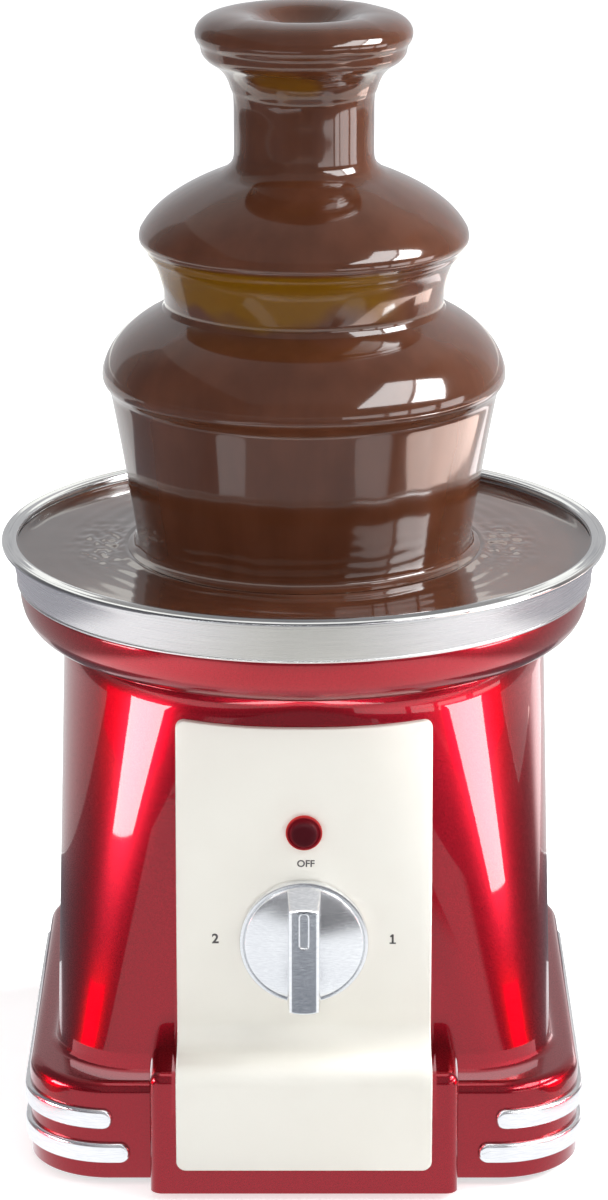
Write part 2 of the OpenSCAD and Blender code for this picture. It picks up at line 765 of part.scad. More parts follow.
module motor() {
    motor_r = motor_d/2;
    can_r = motor_r - 1.5;
    boss_h = plate_t + gap;
    head_l = 14;
    bevel = 4;
    end_boss = 2;
    tab = [4.8, 0.8, 8];
    color(dark) translate([0, motor_y, plate_z]) difference() {
        union() {
            rotate_extrude() polygon([[0, 0], [motor_r, 0], [motor_r, -head_l], [can_r, -head_l - 1],
                [can_r, bevel - motor_l], [can_r - bevel/2, -motor_l], [0, -motor_l]]);
            cylinder(r = motor_boss_r, h = boss_h);
            translate([0, 0, -motor_l - end_boss]) cylinder(r = motor_boss_r, h = end_boss + 1);
            for (s = [-1, 1]) translate([s*motor_r/2 - tab[0]/2, -tab[1]/2, 1 - motor_l - tab[2]])
                cube(tab);
        }
        translate([0, 0, -pinion_shaft_in - gap])
            cylinder(r = pinion_shaft_r + run, h = pinion_shaft_in + boss_h + 1);
    }
}

// Involute gears: polar half angle of a tooth at a radius, and the closed outline
pressure_angle = 25;
flank_play = 0.12;
function involute_angle(base_r, r) = let (a = acos(min(1, base_r/r))) tan(a)*180/PI - a;
function tooth_half(pitch_r, teeth, r) = let (base_r = pitch_r*cos(pressure_angle))
    90/teeth - flank_play/pitch_r*180/PI + involute_angle(base_r, pitch_r) - involute_angle(base_r, r);
function polar(r, a) = r*[cos(a), sin(a)];
function gear_outline(teeth, steps = 4) = let (pitch_r = gear_module*teeth/2, tip = pitch_r + gear_module,
    root = pitch_r - 1.25*gear_module, low = max(root + 0.05, pitch_r*cos(pressure_angle)))
    [for (i = [0:teeth - 1]) let (mid = 360*i/teeth) each concat(
        [polar(root, mid - tooth_half(pitch_r, teeth, low))],
        [for (j = [0:steps]) let (r = mix(low, tip, j/steps))
            polar(r, mid - tooth_half(pitch_r, teeth, r))],
        [for (j = [steps:-1:0]) let (r = mix(low, tip, j/steps))
            polar(r, mid + tooth_half(pitch_r, teeth, r))],
        [polar(root, mid + tooth_half(pitch_r, teeth, low))])];

gear_z = plate_top_z + bush_flange_t + gap;
gear_hub_h = 2;
pinion_shaft_r = 2.5;
pinion_shaft_in = 12;
cover_wall = 1.8;
gear_room = 2;
cover_top_z = gear_z + gear_hub_h + gear_t + gear_room;

module output_gear() {
    hub_r = 2*shaft_r + 1;
    web_r = gear_pitch_r - 4*gear_module;
    web_edge = 1.5;
    hole_mid = (hub_r + web_r)/2;
    hole_r = (web_r - hub_r)/2 - web_edge;
    h = gear_hub_h + gear_t;
    color(cream) translate([0, 0, gear_z]) difference() {
        union() {
            cylinder(r = hub_r, h = h);
            translate([0, 0, gear_hub_h]) rotate(90) linear_extrude(gear_t) polygon(gear_outline(gear_teeth));
        }
        translate([0, 0, -1]) cylinder(r = shaft_r + run, h = h + 2);
        round_about(6, hole_mid) cylinder(r = hole_r, h = h + 1);
    }
}

module motor_pinion() {
    foot_z = plate_z - pinion_shaft_in;
    teeth_z = gear_z + gear_hub_h;
    color(brass) translate([0, motor_y, 0]) union() {
        translate([0, 0, foot_z]) cylinder(r = pinion_shaft_r, h = teeth_z + gear_t - foot_z);
        translate([0, 0, teeth_z]) rotate(270 + 180/pinion_teeth) linear_extrude(gear_t)
            polygon(gear_outline(pinion_teeth));
    }
}

// Plan outline of the gear cover: two circles joined by their common tangents
module cover_plan(grow) {
    big = gear_pitch_r + gear_module + gear_room + grow;
    small = pinion_pitch_r + gear_module + gear_room + grow;
    lean = asin((big - small)/motor_y);
    circle(r = big);
    translate([0, motor_y]) circle(r = small);
    polygon([polar(big, lean), [0, motor_y] + polar(small, lean),
        [0, motor_y] + polar(small, 180 - lean), polar(big, 180 - lean)]);
}

module gear_cover() {
    h = cover_top_z - plate_top_z;
    color(cream) translate([0, 0, plate_top_z]) difference() {
        linear_extrude(h + cover_wall) cover_plan(cover_wall);
        translate([0, 0, -1]) linear_extrude(h + 1) cover_plan(0);
        cylinder(r = shaft_r + 1, h = h + cover_wall + 1);
    }
}

module lower_bush() {
    below = 3;
    h = below + plate_t;
    color(brass) translate([0, 0, plate_z - below]) difference() {
        union() {
            cylinder(r = bush_r, h = h);
            translate([0, 0, h]) cylinder(r = bush_flange_r, h = bush_flange_t);
        }
        translate([0, 0, -1]) cylinder(r = shaft_r + run, h = h + bush_flange_t + 2);
    }
}

// Auger: helical flight on a core that is driven by the flatted end of the shaft
auger_z = neck_top_z + 1.5;
tube_r = tube_d/2;
tube_in = tube_r - tube_wall;
crown_rim_z = floor_z + tower_h;
tube_top_z = crown_rim_z - 9;
auger_top_z = tube_top_z - 2;
auger_socket = 14;
flight_r = tube_in - auger_gap;
flight_root_t = 3;
flight_tip_t = 1.8;
core_r = auger_core_d/2;
flat_half = shaft_r*0.75;

// Shaft cylinder with two flats over its upper length
module flatted(r, half, h, flat_h) {
    difference() {
        cylinder(r = r, h = h);
        for (side = [-1, 1]) translate([-r - 1, side > 0 ? half : -half - r, h - flat_h])
            cube([2*r + 2, r, flat_h + 1]);
    }
}

module drive_shaft() {
    foot_z = plate_z - 4;
    color(steel) translate([0, 0, foot_z])
        flatted(shaft_r, flat_half, auger_z - foot_z + auger_socket - gap, auger_socket - gap);
}

// Radial section of the flight at one point of its climb
function flight_section(turn, z) = let (root = core_r - 1, inner = flight_root_t/2, outer = flight_tip_t/2)
    [for (p = [[root, -inner], [root, inner], [flight_r, outer], [flight_r, -outer]])
        [p[0]*cos(turn), p[0]*sin(turn), z + p[1]]];

module auger() {
    length = auger_top_z - auger_z;
    climb = length - core_r - 2*flight_root_t;
    steps = ceil(18*climb/auger_pitch);
    color(cream) translate([0, 0, auger_z]) difference() {
        union() {
            cylinder(r = core_r, h = length - core_r);
            translate([0, 0, length - core_r]) cylinder(r1 = core_r, r2 = core_r/3, h = core_r);
            skin_over([for (i = [0:steps]) let (z = flight_root_t + climb*i/steps)
                flight_section(360*z/auger_pitch, z)], false);
        }
        translate([0, 0, -1]) flatted(shaft_r + 2*run, flat_half + 2*run, auger_socket + 1, auger_socket + 2);
    }
}

// Tower tube: stepped outside, one bore, arched intakes at its foot
tube_step = 0.6;
tower_z = floor_z + gap;
tower_foot_r = tube_r + 2*tube_step + 2.5;
tower_foot_h = 2.5;
hub_h = 10;
lower_lip_z = floor_z + lower_tier_h;
upper_lip_z = floor_z + upper_tier_h;
lower_seat_z = lower_lip_z + lower_rise - hub_h;
upper_seat_z = upper_lip_z + upper_rise - hub_h;
crown_seat_z = crown_rim_z - crown_h;
lower_tube_r = tube_r + tube_step;
crown_tube_r = tube_r - tube_step;

module tower_tube() {
    intake_r = 7;
    intake_h = 14;
    foot_top_z = tower_z + tower_foot_h;
    foot_tube_r = tube_r + 2*tube_step;
    reach = tower_foot_r + 1;
    color(steel) difference() {
        rotate_extrude() polygon([[tube_in, tower_z], [tower_foot_r, tower_z], [tower_foot_r, foot_top_z],
            [foot_tube_r, foot_top_z + 2], [foot_tube_r, lower_seat_z], [lower_tube_r, lower_seat_z],
            [lower_tube_r, upper_seat_z], [tube_r, upper_seat_z], [tube_r, crown_seat_z],
            [crown_tube_r, crown_seat_z], [crown_tube_r, tube_top_z], [tube_in, tube_top_z]]);
        for (a = [30:120:270]) rotate(a) translate([0, 0, foot_top_z + 1]) {
            translate([0, -intake_r, 0]) cube([reach, 2*intake_r, intake_h]);
            translate([0, 0, intake_h]) rotate([0, 90, 0]) cylinder(r = intake_r, h = reach);
        }
    }
}

// Tier: hub on a step of the tube and a domed plate, with its fullness given as shares of run and rise
hub_wall = 2;
function dome(hub, edge, full) =
    bez(hub, [mix(hub[0], edge[0], full[0]), mix(edge[1], hub[1], full[1])], edge, 10);
lower_hub_r = lower_tube_r + hub_wall;
upper_hub_r = tube_r + hub_wall;
lower_dome = dome([lower_hub_r, lower_lip_z + lower_rise], [lower_tier_d/2, lower_lip_z], [0.9, 0.72]);
upper_dome = dome([upper_hub_r, upper_lip_z + upper_rise], [upper_tier_d/2, upper_lip_z], [0.81, 0.57]);

module tier(path, bore_r, seat_z) {
    bore = bore_r + run;
    color(steel) rotate_extrude() polygon(concat([[bore, seat_z], [bore, path[0][1]]],
        path, reversed(shifted(path, -tier_t)), [[path[0][0], seat_z]]));
}

module lower_tier() { tier(lower_dome, lower_tube_r, lower_seat_z); }
module upper_tier() { tier(upper_dome, tube_r, upper_seat_z); }

// Crown: sleeve on the tube's top and a flared cup
crown_r = crown_d/2;
crown_t = 1.6;
crown_hub_r = crown_tube_r + run + crown_t;
crown_path = concat([[crown_hub_r, crown_seat_z]],
    bez([crown_hub_r, crown_seat_z + 3], [crown_hub_r + 2.5, crown_rim_z - crown_h*0.525],
        [crown_r - 3.2, crown_rim_z - crown_h*0.375], 6),
    [[crown_r - 0.4, crown_rim_z - crown_h*0.225], [crown_r, crown_rim_z]]);

module crown() {
    color(steel) rotate_extrude() polygon(sheet_outline(crown_path, crown_t));
}

// Chocolate in the bowl, with room for the foot of the tower
pool_hole_r = tower_foot_r + gap;
wet_path = shifted(bowl_path, sheet + skin);
wet_last = len(wet_path) - 1;

module chocolate_pool() {
    foot = wet_path[wet_last - 1];
    brim = wet_path[wet_last];
    shore = mix(foot, brim, (pool_z - foot[1])/(brim[1] - foot[1]));
    color(chocolate) rotate_extrude() polygon(concat([[pool_hole_r, wet_path[2][1]]],
        part_of(wet_path, 2, wet_last - 1), [shore, [pool_hole_r, pool_z]]));
}

// Chocolate on the tower: outside from the crest down to the pool, inside along what it covers
crest_z = crown_rim_z + crest_h;
dimple_r = crown_r*0.41;
crest_r = crown_r*0.71;
neck_coat_r = tube_r + coat;
upper_edge_r = upper_tier_d/2 + coat;
lower_edge_r = lower_tier_d/2 + coat;
curl = 4;
upper_start = [upper_edge_r - 2.5, upper_lip_z - curl];
lower_start = [lower_edge_r - 3, lower_lip_z - curl - 2];
upper_foot_r = upper_edge_r - upper_draw;
lower_foot = [lower_edge_r - lower_draw, pool_z + gap];
lower_coat = shifted(lower_dome, coat);
upper_coat = shifted(upper_dome, coat);
// Landing of the upper curtain on the coated lower tier
landing = max([for (i = [0:len(lower_coat) - 1]) lower_coat[i][0] < upper_foot_r ? i : 0]);
landing_share = (upper_foot_r - lower_coat[landing][0])
    /(lower_coat[landing + 1][0] - lower_coat[landing][0]);
upper_foot = mix(lower_coat[landing], lower_coat[landing + 1], landing_share) + [0, 1.5];
upper_curtain = bez(upper_start,
    [upper_foot_r + 1.5, mix(upper_foot[1], upper_start[1], 0.65)], upper_foot);
lower_curtain = bez(lower_start, mix(lower_start, lower_foot, 0.4) - [0.6, 0], lower_foot);

cascade_outside = concat(
    bez([0, crest_z - dimple], [dimple_r*0.65, crest_z - dimple], [dimple_r, crest_z - dimple/3], 4),
    part_of(bez([dimple_r, crest_z - dimple/3], [mix(dimple_r, crest_r, 0.4), crest_z],
        [crest_r, crest_z], 4), 1, 4),
    part_of(bez([crest_r, crest_z], [crown_r + coat, crest_z], [crown_r + coat, crown_rim_z], 6), 1, 5),
    reversed(shifted(crown_path, -coat)),
    [[neck_coat_r, crown_seat_z - 1.5]],
    bez([neck_coat_r, upper_coat[0][1] + 5], [neck_coat_r, upper_coat[0][1] + 0.5], upper_coat[1], 4),
    part_of(upper_coat, 2, 10),
    bez([upper_edge_r, upper_lip_z - 0.5], [upper_edge_r, upper_lip_z - curl + 1], upper_start, 4),
    part_of(upper_curtain, 1, 8),
    part_of(lower_coat, landing + 2, 10),
    bez([lower_edge_r, lower_lip_z - 0.5], [lower_edge_r, lower_lip_z - curl], lower_start, 4),
    part_of(lower_curtain, 1, 8));

function under_edge(edge_r, lip_z, start) = [[edge_r + skin, lip_z], [edge_r + skin, lip_z - tier_t - skin],
    [start[0] - curtain_t, lip_z - tier_t - skin]];
function inward(path) = [for (p = path) p - [curtain_t, 0]];
lower_skin = shifted(lower_dome, skin);
// First point of the lower tier that lies outside the inner face of the upper curtain
inner_landing = min([for (i = [0:10]) lower_skin[i][0] > upper_foot_r - curtain_t + 0.5 ? i : 10]);

cascade_inside = concat(
    [[0, tube_top_z + 0.5], [crown_path[3][0] - crown_t - skin, tube_top_z + 0.5]],
    part_of(shifted(crown_path, crown_t + skin), 5, len(crown_path) - 1),
    [crown_path[len(crown_path) - 1] + [-crown_t, skin], crown_path[len(crown_path) - 1] + [skin, skin]],
    reversed(part_of(shifted(crown_path, -skin), 1, len(crown_path) - 2)),
    [[crown_hub_r + skin, crown_seat_z - skin], [tube_r + skin, crown_seat_z - skin],
     [tube_r + skin, upper_lip_z + upper_rise + skin]],
    shifted(upper_dome, skin),
    under_edge(upper_tier_d/2, upper_lip_z, upper_start),
    inward(part_of(upper_curtain, 1, 6)),
    part_of(lower_skin, inner_landing, 10),
    under_edge(lower_tier_d/2, lower_lip_z, lower_start),
    inward(part_of(lower_curtain, 1, 8)));

module chocolate_cascade() {
    color(chocolate) rotate_extrude() polygon(concat(cascade_outside, reversed(cascade_inside)));
}

// Underside: vented cover, its screws inside ring-shaped rubber feet
module bottom_cover() {
    fit = wall + gap;
    slot_w = 3;
    slot_l = 34;
    corner_x = base_hx - base_corner;
    corner_y = base_hy - base_corner;
    color(dark) difference() {
        translate([0, 0, base_z]) linear_extrude(cover_t) union() {
            square([2*corner_x, 2*(base_hy - fit)], center = true);
            square([2*(base_hx - fit), 2*corner_y], center = true);
            for (sx = [-1, 1], sy = [-1, 1]) translate([sx*corner_x, sy*corner_y])
                circle(r = base_corner - fit);
        }
        at_corners() translate([0, 0, base_z - 1]) cylinder(r = screw_r + hole_play, h = cover_t + 2);
        for (i = [-4:4], s = [-1, 1]) translate([i*3*slot_w - slot_w/2, s*slot_l*0.7 - slot_l/2, base_z - 1])
            cube([slot_w, slot_l, cover_t + 2]);
    }
}

module cover_screws() {
    color(steel) at_corners() union() {
        translate([0, 0, base_z - screw_head_h]) cylinder(r = screw_head_r, h = screw_head_h);
        translate([0, 0, base_z - 0.5]) cylinder(r = screw_r, h = screw_len);
    }
}

module feet() {
    bevel = 0.8;
    color(dark) at_corners() rotate_extrude() polygon([[screw_head_r + gap, 0], [foot_d/2 - bevel, 0],
        [foot_d/2, bevel], [foot_d/2, foot_h], [screw_head_r + gap, foot_h]]);
}

// Gland for the mains lead in the rear wall
module cord_gland() {
    flange_r = gland_neck_r + 3.5;
    flange_h = 2.5;
    inner = wall + 1.5;
    color(dark) translate([0, base_hy, gland_z]) rotate([-90, 0, 0]) rotate_extrude() polygon([
        [gland_bore_r, -inner - 2], [gland_neck_r + 1, -inner - 2], [gland_neck_r, -inner],
        [gland_neck_r, 0], [flange_r, 0], [flange_r - 1, flange_h], [gland_bore_r, flange_h]]);
}

housing();
bowl_collar();
front_panel();
trim_upper_left();
trim_upper_right();
trim_lower_left();
trim_lower_right();
control_knob();
knob_spindle();
rotary_switch();
switch_nut();
lamp_lens();
lamp_holder();
bowl();
upper_bush();
shaft_seal();
heater_ring();
heater_clamp();
thermostat();
thermal_fuse();
plate_pillars();
motor_plate();
plate_screws();
motor();
motor_pinion();
output_gear();
gear_cover();
lower_bush();
drive_shaft();
auger();
tower_tube();
lower_tier();
upper_tier();
crown();
chocolate_pool();
chocolate_cascade();
bottom_cover();
cover_screws();
feet();
cord_gland();
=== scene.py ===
import json
import bpy
import bmesh
from math import cos, exp, hypot, pi, radians, sin, sqrt
from mathutils import Matrix, Vector, noise


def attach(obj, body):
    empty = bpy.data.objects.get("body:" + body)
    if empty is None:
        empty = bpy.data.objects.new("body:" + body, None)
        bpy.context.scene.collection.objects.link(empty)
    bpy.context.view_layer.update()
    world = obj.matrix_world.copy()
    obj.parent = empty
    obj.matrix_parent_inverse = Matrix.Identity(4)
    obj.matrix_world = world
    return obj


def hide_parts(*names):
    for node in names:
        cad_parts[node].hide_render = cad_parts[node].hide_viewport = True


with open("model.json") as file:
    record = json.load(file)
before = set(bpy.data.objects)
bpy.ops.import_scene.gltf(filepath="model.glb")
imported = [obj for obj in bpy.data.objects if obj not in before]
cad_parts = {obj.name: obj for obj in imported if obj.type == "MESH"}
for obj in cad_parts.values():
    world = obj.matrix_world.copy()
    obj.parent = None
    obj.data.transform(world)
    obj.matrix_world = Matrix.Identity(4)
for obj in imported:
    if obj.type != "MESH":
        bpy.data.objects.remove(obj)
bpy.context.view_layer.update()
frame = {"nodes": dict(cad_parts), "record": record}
print("frame loaded with", len(frame["nodes"]), "nodes")

# lines and curves, in millimetres

def mix(a, b, t):
    return a + (b - a) * t

def lean(a, b, c, steps):  # from a to c, leaning towards b
    a, b, c = Vector(a), Vector(b), Vector(c)
    shares = [i / steps for i in range(steps + 1)]
    return [a.lerp(b, t).lerp(b.lerp(c, t), t) for t in shares]

def through(points, steps):  # smooth line through every point
    p = [Vector(q) for q in points]
    p = [2 * p[0] - p[1]] + p + [2 * p[-1] - p[-2]]
    line = []
    for a, b, c, d in zip(p, p[1:], p[2:], p[3:]):
        for i in range(steps):
            t = i / steps
            line.append(0.5 * (2 * b + (c - a) * t + (2 * a - 5 * b + 4 * c - d) * t * t
                               + (3 * b - a - 3 * c + d) * t ** 3))
    return line + [p[-2]]

def arc(mid, radius, start, stop, steps):  # degrees
    angles = [radians(mix(start, stop, i / steps)) for i in range(steps + 1)]
    return [Vector((mid[0] + radius * cos(a), mid[1] + radius * sin(a))) for a in angles]

def beside(line, far):  # the same line moved sideways, to its left
    sides = []
    for a, b in zip(line, line[1:]):
        d = (b - a).normalized()
        sides.append(Vector((-d.y, d.x)))
    sides = [sides[0]] + sides + [sides[-1]]
    return [p + far * (s + t) / (1 + s.dot(t)) for p, s, t in zip(line, sides, sides[1:])]

def heightAt(line, radius):  # height of a profile at a radius
    for a, b in zip(line, line[1:]):
        if min(a.x, b.x) <= radius <= max(a.x, b.x) and a.x != b.x:
            return mix(a.y, b.y, (radius - a.x) / (b.x - a.x))
    return line[-1].y

# meshes and objects

slack = 0.01  # how near two places count as one

def turned(bm, profile, steps, closed=False):  # spins a profile of (radius, height) round Z
    before = set(bm.verts)
    chain = [bm.verts.new((p[0], 0, p[1])) for p in profile]
    pairs = list(zip(chain, chain[1:] + (chain[:1] if closed else [])))
    edges = [bm.edges.new(pair) for pair in pairs]
    bmesh.ops.spin(bm, geom=chain + edges, cent=(0, 0, 0), axis=(0, 0, 1), angle=2 * pi,
                   steps=steps, use_merge=True)
    return [v for v in bm.verts if v not in before]

def outward(bm):  # turns the faces' fronts out
    bmesh.ops.recalc_face_normals(bm, faces=bm.faces)

def tidy(bm, near=0.0005):
    bmesh.ops.remove_doubles(bm, verts=bm.verts, dist=near)
    outward(bm)

def placed(bm, name, material):
    mesh = bpy.data.meshes.new(name)
    bm.to_mesh(mesh)
    bm.free()
    mesh.materials.append(material)
    thing = bpy.data.objects.new(name, mesh)
    bpy.context.collection.objects.link(thing)
    return thing

def toObject(bm, name, body, slot, stands=(), crease=38, finish=None):  # piece of the part, in metres
    bmesh.ops.scale(bm, vec=(0.001, 0.001, 0.001), verts=bm.verts)
    piece = placed(bm, name, finish or finishes[slot])
    piece.data.shade_smooth()
    piece.data.set_sharp_from_angle(angle=radians(crease))
    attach(piece, body)
    if stands:
        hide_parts(*stands)

def sliced(bm, places, axis):  # cuts all faces by planes across one axis
    normal = Vector((axis == 0, axis == 1, axis == 2))
    for place in places:
        bmesh.ops.bisect_plane(bm, geom=bm.verts[:] + bm.edges[:] + bm.faces[:], dist=0.0001,
                               plane_co=normal * place, plane_no=normal)

def extruded(bm, faces, rise):  # pulls faces along Z
    made = bmesh.ops.extrude_face_region(bm, geom=faces)["geom"]
    moved = [v for v in made if isinstance(v, bmesh.types.BMVert)]
    bmesh.ops.translate(bm, vec=(0, 0, rise), verts=moved)

def rounded(bm, edges, offset, steps):
    bmesh.ops.bevel(bm, geom=edges, affect="EDGES", offset=offset, segments=steps, profile=0.5,
                    material=-1)

def joined(bm, other):  # takes in a second mesh and frees it
    mesh = bpy.data.meshes.new("joined")
    other.to_mesh(mesh)
    other.free()
    bm.from_mesh(mesh)
    bpy.data.meshes.remove(mesh)

def evenly(first, last, gap):  # places between two ends, not on them
    count = max(2, round(abs(last - first) / gap))
    return [mix(first, last, i / count) for i in range(1, count)]

def plate(length, width, corner, steps):  # flat face, length along Y from 0, rounded corners
    bm = bmesh.new()
    bmesh.ops.create_grid(bm, x_segments=1, y_segments=1, size=0.5)
    bmesh.ops.scale(bm, vec=(width, length, 1), verts=bm.verts)
    bmesh.ops.translate(bm, vec=(0, length / 2, 0), verts=bm.verts)
    bmesh.ops.bevel(bm, geom=bm.verts[:], affect="VERTICES", offset=corner, segments=steps,
                    profile=0.5, material=-1)
    return bm

# shader nodes

class Wire:
    def __init__(self, paint, socket):
        self.paint = paint
        self.socket = socket

    def maths(self, way, a, b):
        return self.paint.node("Math", {"operation": way}, {0: a, 1: b})

    def __add__(self, other):
        return self.maths("ADD", self, other)

    __radd__ = __add__

    def __sub__(self, other):
        return self.maths("SUBTRACT", self, other)

    def __rsub__(self, other):
        return self.maths("SUBTRACT", other, self)

    def __mul__(self, other):
        return self.maths("MULTIPLY", self, other)

    __rmul__ = __mul__

    def __truediv__(self, other):
        return self.maths("DIVIDE", self, other)

class Paint:
    def __init__(self, tree):
        self.tree = tree

    def plug(self, made, sockets):
        for key, value in sockets.items():
            if isinstance(value, Wire):
                self.tree.links.new(value.socket, made.inputs[key])
            else:
                made.inputs[key].default_value = value

    def node(self, kind, settings, sockets, out=0):
        made = self.tree.nodes.new("ShaderNode" + kind)
        for key, value in settings.items():
            setattr(made, key, value)
        self.plug(made, sockets)
        return Wire(self, made.outputs[out])

    def spot(self):
        return self.node("TexCoord", {}, {}, "Object")

    def grain(self, scale, detail=2, stretch=(1, 1, 1)):
        place = self.node("Mapping", {}, {"Vector": self.spot(), "Scale": stretch})
        return self.node("TexNoise", {}, {"Vector": place, "Scale": scale, "Detail": detail})

    def eased(self, value, low, high, out0=0.0, out1=1.0):
        return self.node("MapRange", {"interpolation_type": "SMOOTHSTEP"},
                         {0: value, 1: low, 2: high, 3: out0, 4: out1})

    def blend(self, share, a, b):
        return self.node("Mix", {"data_type": "RGBA"}, {0: share, 6: a, 7: b}, 2)

    def bumped(self, height, far, strength):
        return self.node("Bump", {}, {"Height": height, "Distance": far, "Strength": strength})

    def xyz(self, axis):
        return self.node("SeparateXYZ", {}, {0: self.spot()}, axis)

    def beside(self):  # distance from the middle plane, in metres
        return self.node("Math", {"operation": "ABSOLUTE"}, {0: self.xyz(0)})

    def radius(self):  # distance from the fountain's axis, in metres
        flat = self.node("VectorMath", {"operation": "MULTIPLY"}, {0: self.spot(), 1: (1, 1, 0)})
        return self.node("VectorMath", {"operation": "LENGTH"}, {0: flat}, "Value")

def newPaint(name):
    material = bpy.data.materials.new(name)
    material.use_nodes = True
    return Paint(material.node_tree), material

def dressed(paint, sockets):
    paint.plug(paint.tree.nodes["Principled BSDF"], sockets)

def opaque(r, g, b):
    return (r, g, b, 1)

# camera at the photograph's angle

camera = {"place": (0, -1.4, 0.6142), "tilt": 72.69, "lens": 127.06, "sensor": 36}

lensData = bpy.data.cameras.new("photoCamera")
lensData.sensor_fit = "VERTICAL"
lensData.sensor_height = camera["sensor"]
lensData.lens = camera["lens"]
photoCamera = bpy.data.objects.new("photoCamera", lensData)
photoCamera.location = camera["place"]
photoCamera.rotation_euler = (radians(camera["tilt"]), 0, 0)
bpy.context.collection.objects.link(photoCamera)
bpy.context.scene.camera = photoCamera
bpy.context.scene.view_settings.view_transform = "Standard"

# finishes

def redGlossFinish():
    look = {"deep": opaque(0.20, 0.0005, 0.007), "bright": opaque(0.36, 0.001, 0.013), "flake": 5200,
            "cloud": 26, "peel": 420, "metal": 0.92, "rough": 0.21, "sparkle": 0.13}
    p, material = newPaint("redGloss")
    flake = p.grain(look["flake"], 1)
    cloud = p.grain(look["cloud"], 3)
    colour = p.blend(flake * 0.7 + cloud * 0.3, look["deep"], look["bright"])
    peel = p.grain(look["peel"], 2)  # faint orange peel in the lacquer
    dressed(p, {"Base Color": colour, "Metallic": look["metal"],
                "Roughness": look["rough"] + flake * look["sparkle"],
                "Coat Weight": 1.0, "Coat Roughness": 0.03, "Coat IOR": 1.42,
                "Normal": p.bumped(peel, 0.00002, 0.25)})
    return material

def creamFinish():
    look = {"pale": opaque(0.92, 0.905, 0.835), "warm": opaque(0.88, 0.86, 0.785), "cloud": 18,
            "pores": 2600, "rough": 0.36, "spread": 0.12}
    p, material = newPaint("creamPanel")
    cloud = p.grain(look["cloud"], 3)
    pores = p.grain(look["pores"], 3)
    colour = p.blend(p.eased(cloud, 0.3, 0.7), look["pale"], look["warm"])
    dressed(p, {"Base Color": colour, "Roughness": look["rough"] + pores * look["spread"],
                "Coat Weight": 0.25, "Coat Roughness": 0.2, "Normal": p.bumped(pores, 0.00003, 0.2)})
    return material

def brushedFinish(name, colour, dark, roughness, stretch, scale, bump=0.15):
    p, material = newPaint(name)
    hair = p.grain(scale, 4, stretch)
    cloud = p.grain(30, 2)
    shade = p.blend(p.eased(hair * 0.6 + cloud * 0.4, 0.3, 0.7), dark, colour)
    dressed(p, {"Base Color": shade, "Metallic": 1.0, "Roughness": roughness - 0.06 + hair * 0.12,
                "Normal": p.bumped(hair, 0.00002, bump)})
    return material

def bowlFinish():
    look = {"light": opaque(0.80, 0.80, 0.80), "grey": opaque(0.62, 0.63, 0.645), "lines": 9000,
            "satin": 0.20, "polish": 0.08, "rimFoot": 0.1992, "rimBlend": 0.0008}
    p, material = newPaint("bowlSteel")
    x, y, z = p.xyz(0), p.xyz(1), p.xyz(2)
    r = p.radius()
    ring = p.node("CombineXYZ", {}, {0: (r + z * 1.7) * look["lines"], 1: x / r * 5, 2: y / r * 5})
    hair = p.node("TexNoise", {}, {"Vector": ring, "Scale": 1.0, "Detail": 3})
    cloud = p.grain(24, 2)
    polished = p.eased(z, look["rimFoot"], look["rimFoot"] + look["rimBlend"])
    shade = p.blend(p.eased(hair * 0.7 + cloud * 0.3, 0.3, 0.7), look["grey"], look["light"])
    rough = (look["satin"] + hair * 0.14) * (1 - polished) + (look["polish"] + hair * 0.06) * polished
    dressed(p, {"Base Color": shade, "Metallic": 1.0, "Roughness": rough,
                "Normal": p.bumped(hair, 0.00001, 0.25)})
    return material

def chocolateFinish():
    # the third colour is a painted ochre reflection of a warm surround, not the chocolate's own colour
    look = {"dark": opaque(0.084, 0.025, 0.010), "milk": opaque(0.114, 0.037, 0.017),
            "ochreReflection": opaque(0.18, 0.078, 0.003), "streak": (90, 90, 14), "swirl": 38, "skin": 170,
            "curtain": (0.286, 0.292, 0.3035, 0.3055), "lip": (0.356, 0.361, 0.369, 0.3725),
            "jag": 0.02, "leftOf": (0.022, 0.036), "patches": 30, "patchShare": 0.6}
    p, material = newPaint("chocolate")
    streak = p.grain(1.0, 3, look["streak"])
    swirl = p.grain(look["swirl"], 3)
    milky = p.eased(streak * 0.55 + swirl * 0.45, 0.32, 0.68)
    skin = p.grain(look["skin"], 2)
    z = p.xyz(2)
    jagged = z + (p.grain(55, 1) - 0.5) * look["jag"]
    left = p.eased(p.xyz(0), *look["leftOf"], 1.0, 0.0)
    patch = p.eased(p.grain(look["patches"], 1), 0.48, 0.62) * look["patchShare"]
    ochreReflection = 0.0  # painted ochre reflection, on the upper curtain's left and in patches on the crown's lip
    for share, (low, lowFull, highFull, high) in ((left, look["curtain"]), (patch, look["lip"])):
        ochreReflection = p.eased(jagged, low, lowFull) * p.eased(z, highFull, high, 1.0, 0.0) * share + ochreReflection
    brown = p.blend(milky, look["dark"], look["milk"])
    dressed(p, {"Base Color": p.blend(ochreReflection, brown, look["ochreReflection"]), "Roughness": 0.09 + swirl * 0.07,
                "Specular IOR Level": 0.3, "Coat Weight": 0.95 - ochreReflection * 0.8, "Coat Roughness": 0.05,
                "Coat IOR": 1.55, "Subsurface Weight": 0.15, "Subsurface Radius": (0.004, 0.0018, 0.0008),
                "Subsurface Scale": 1.0, "Normal": p.bumped(skin, 0.00012, 0.12)})
    return material

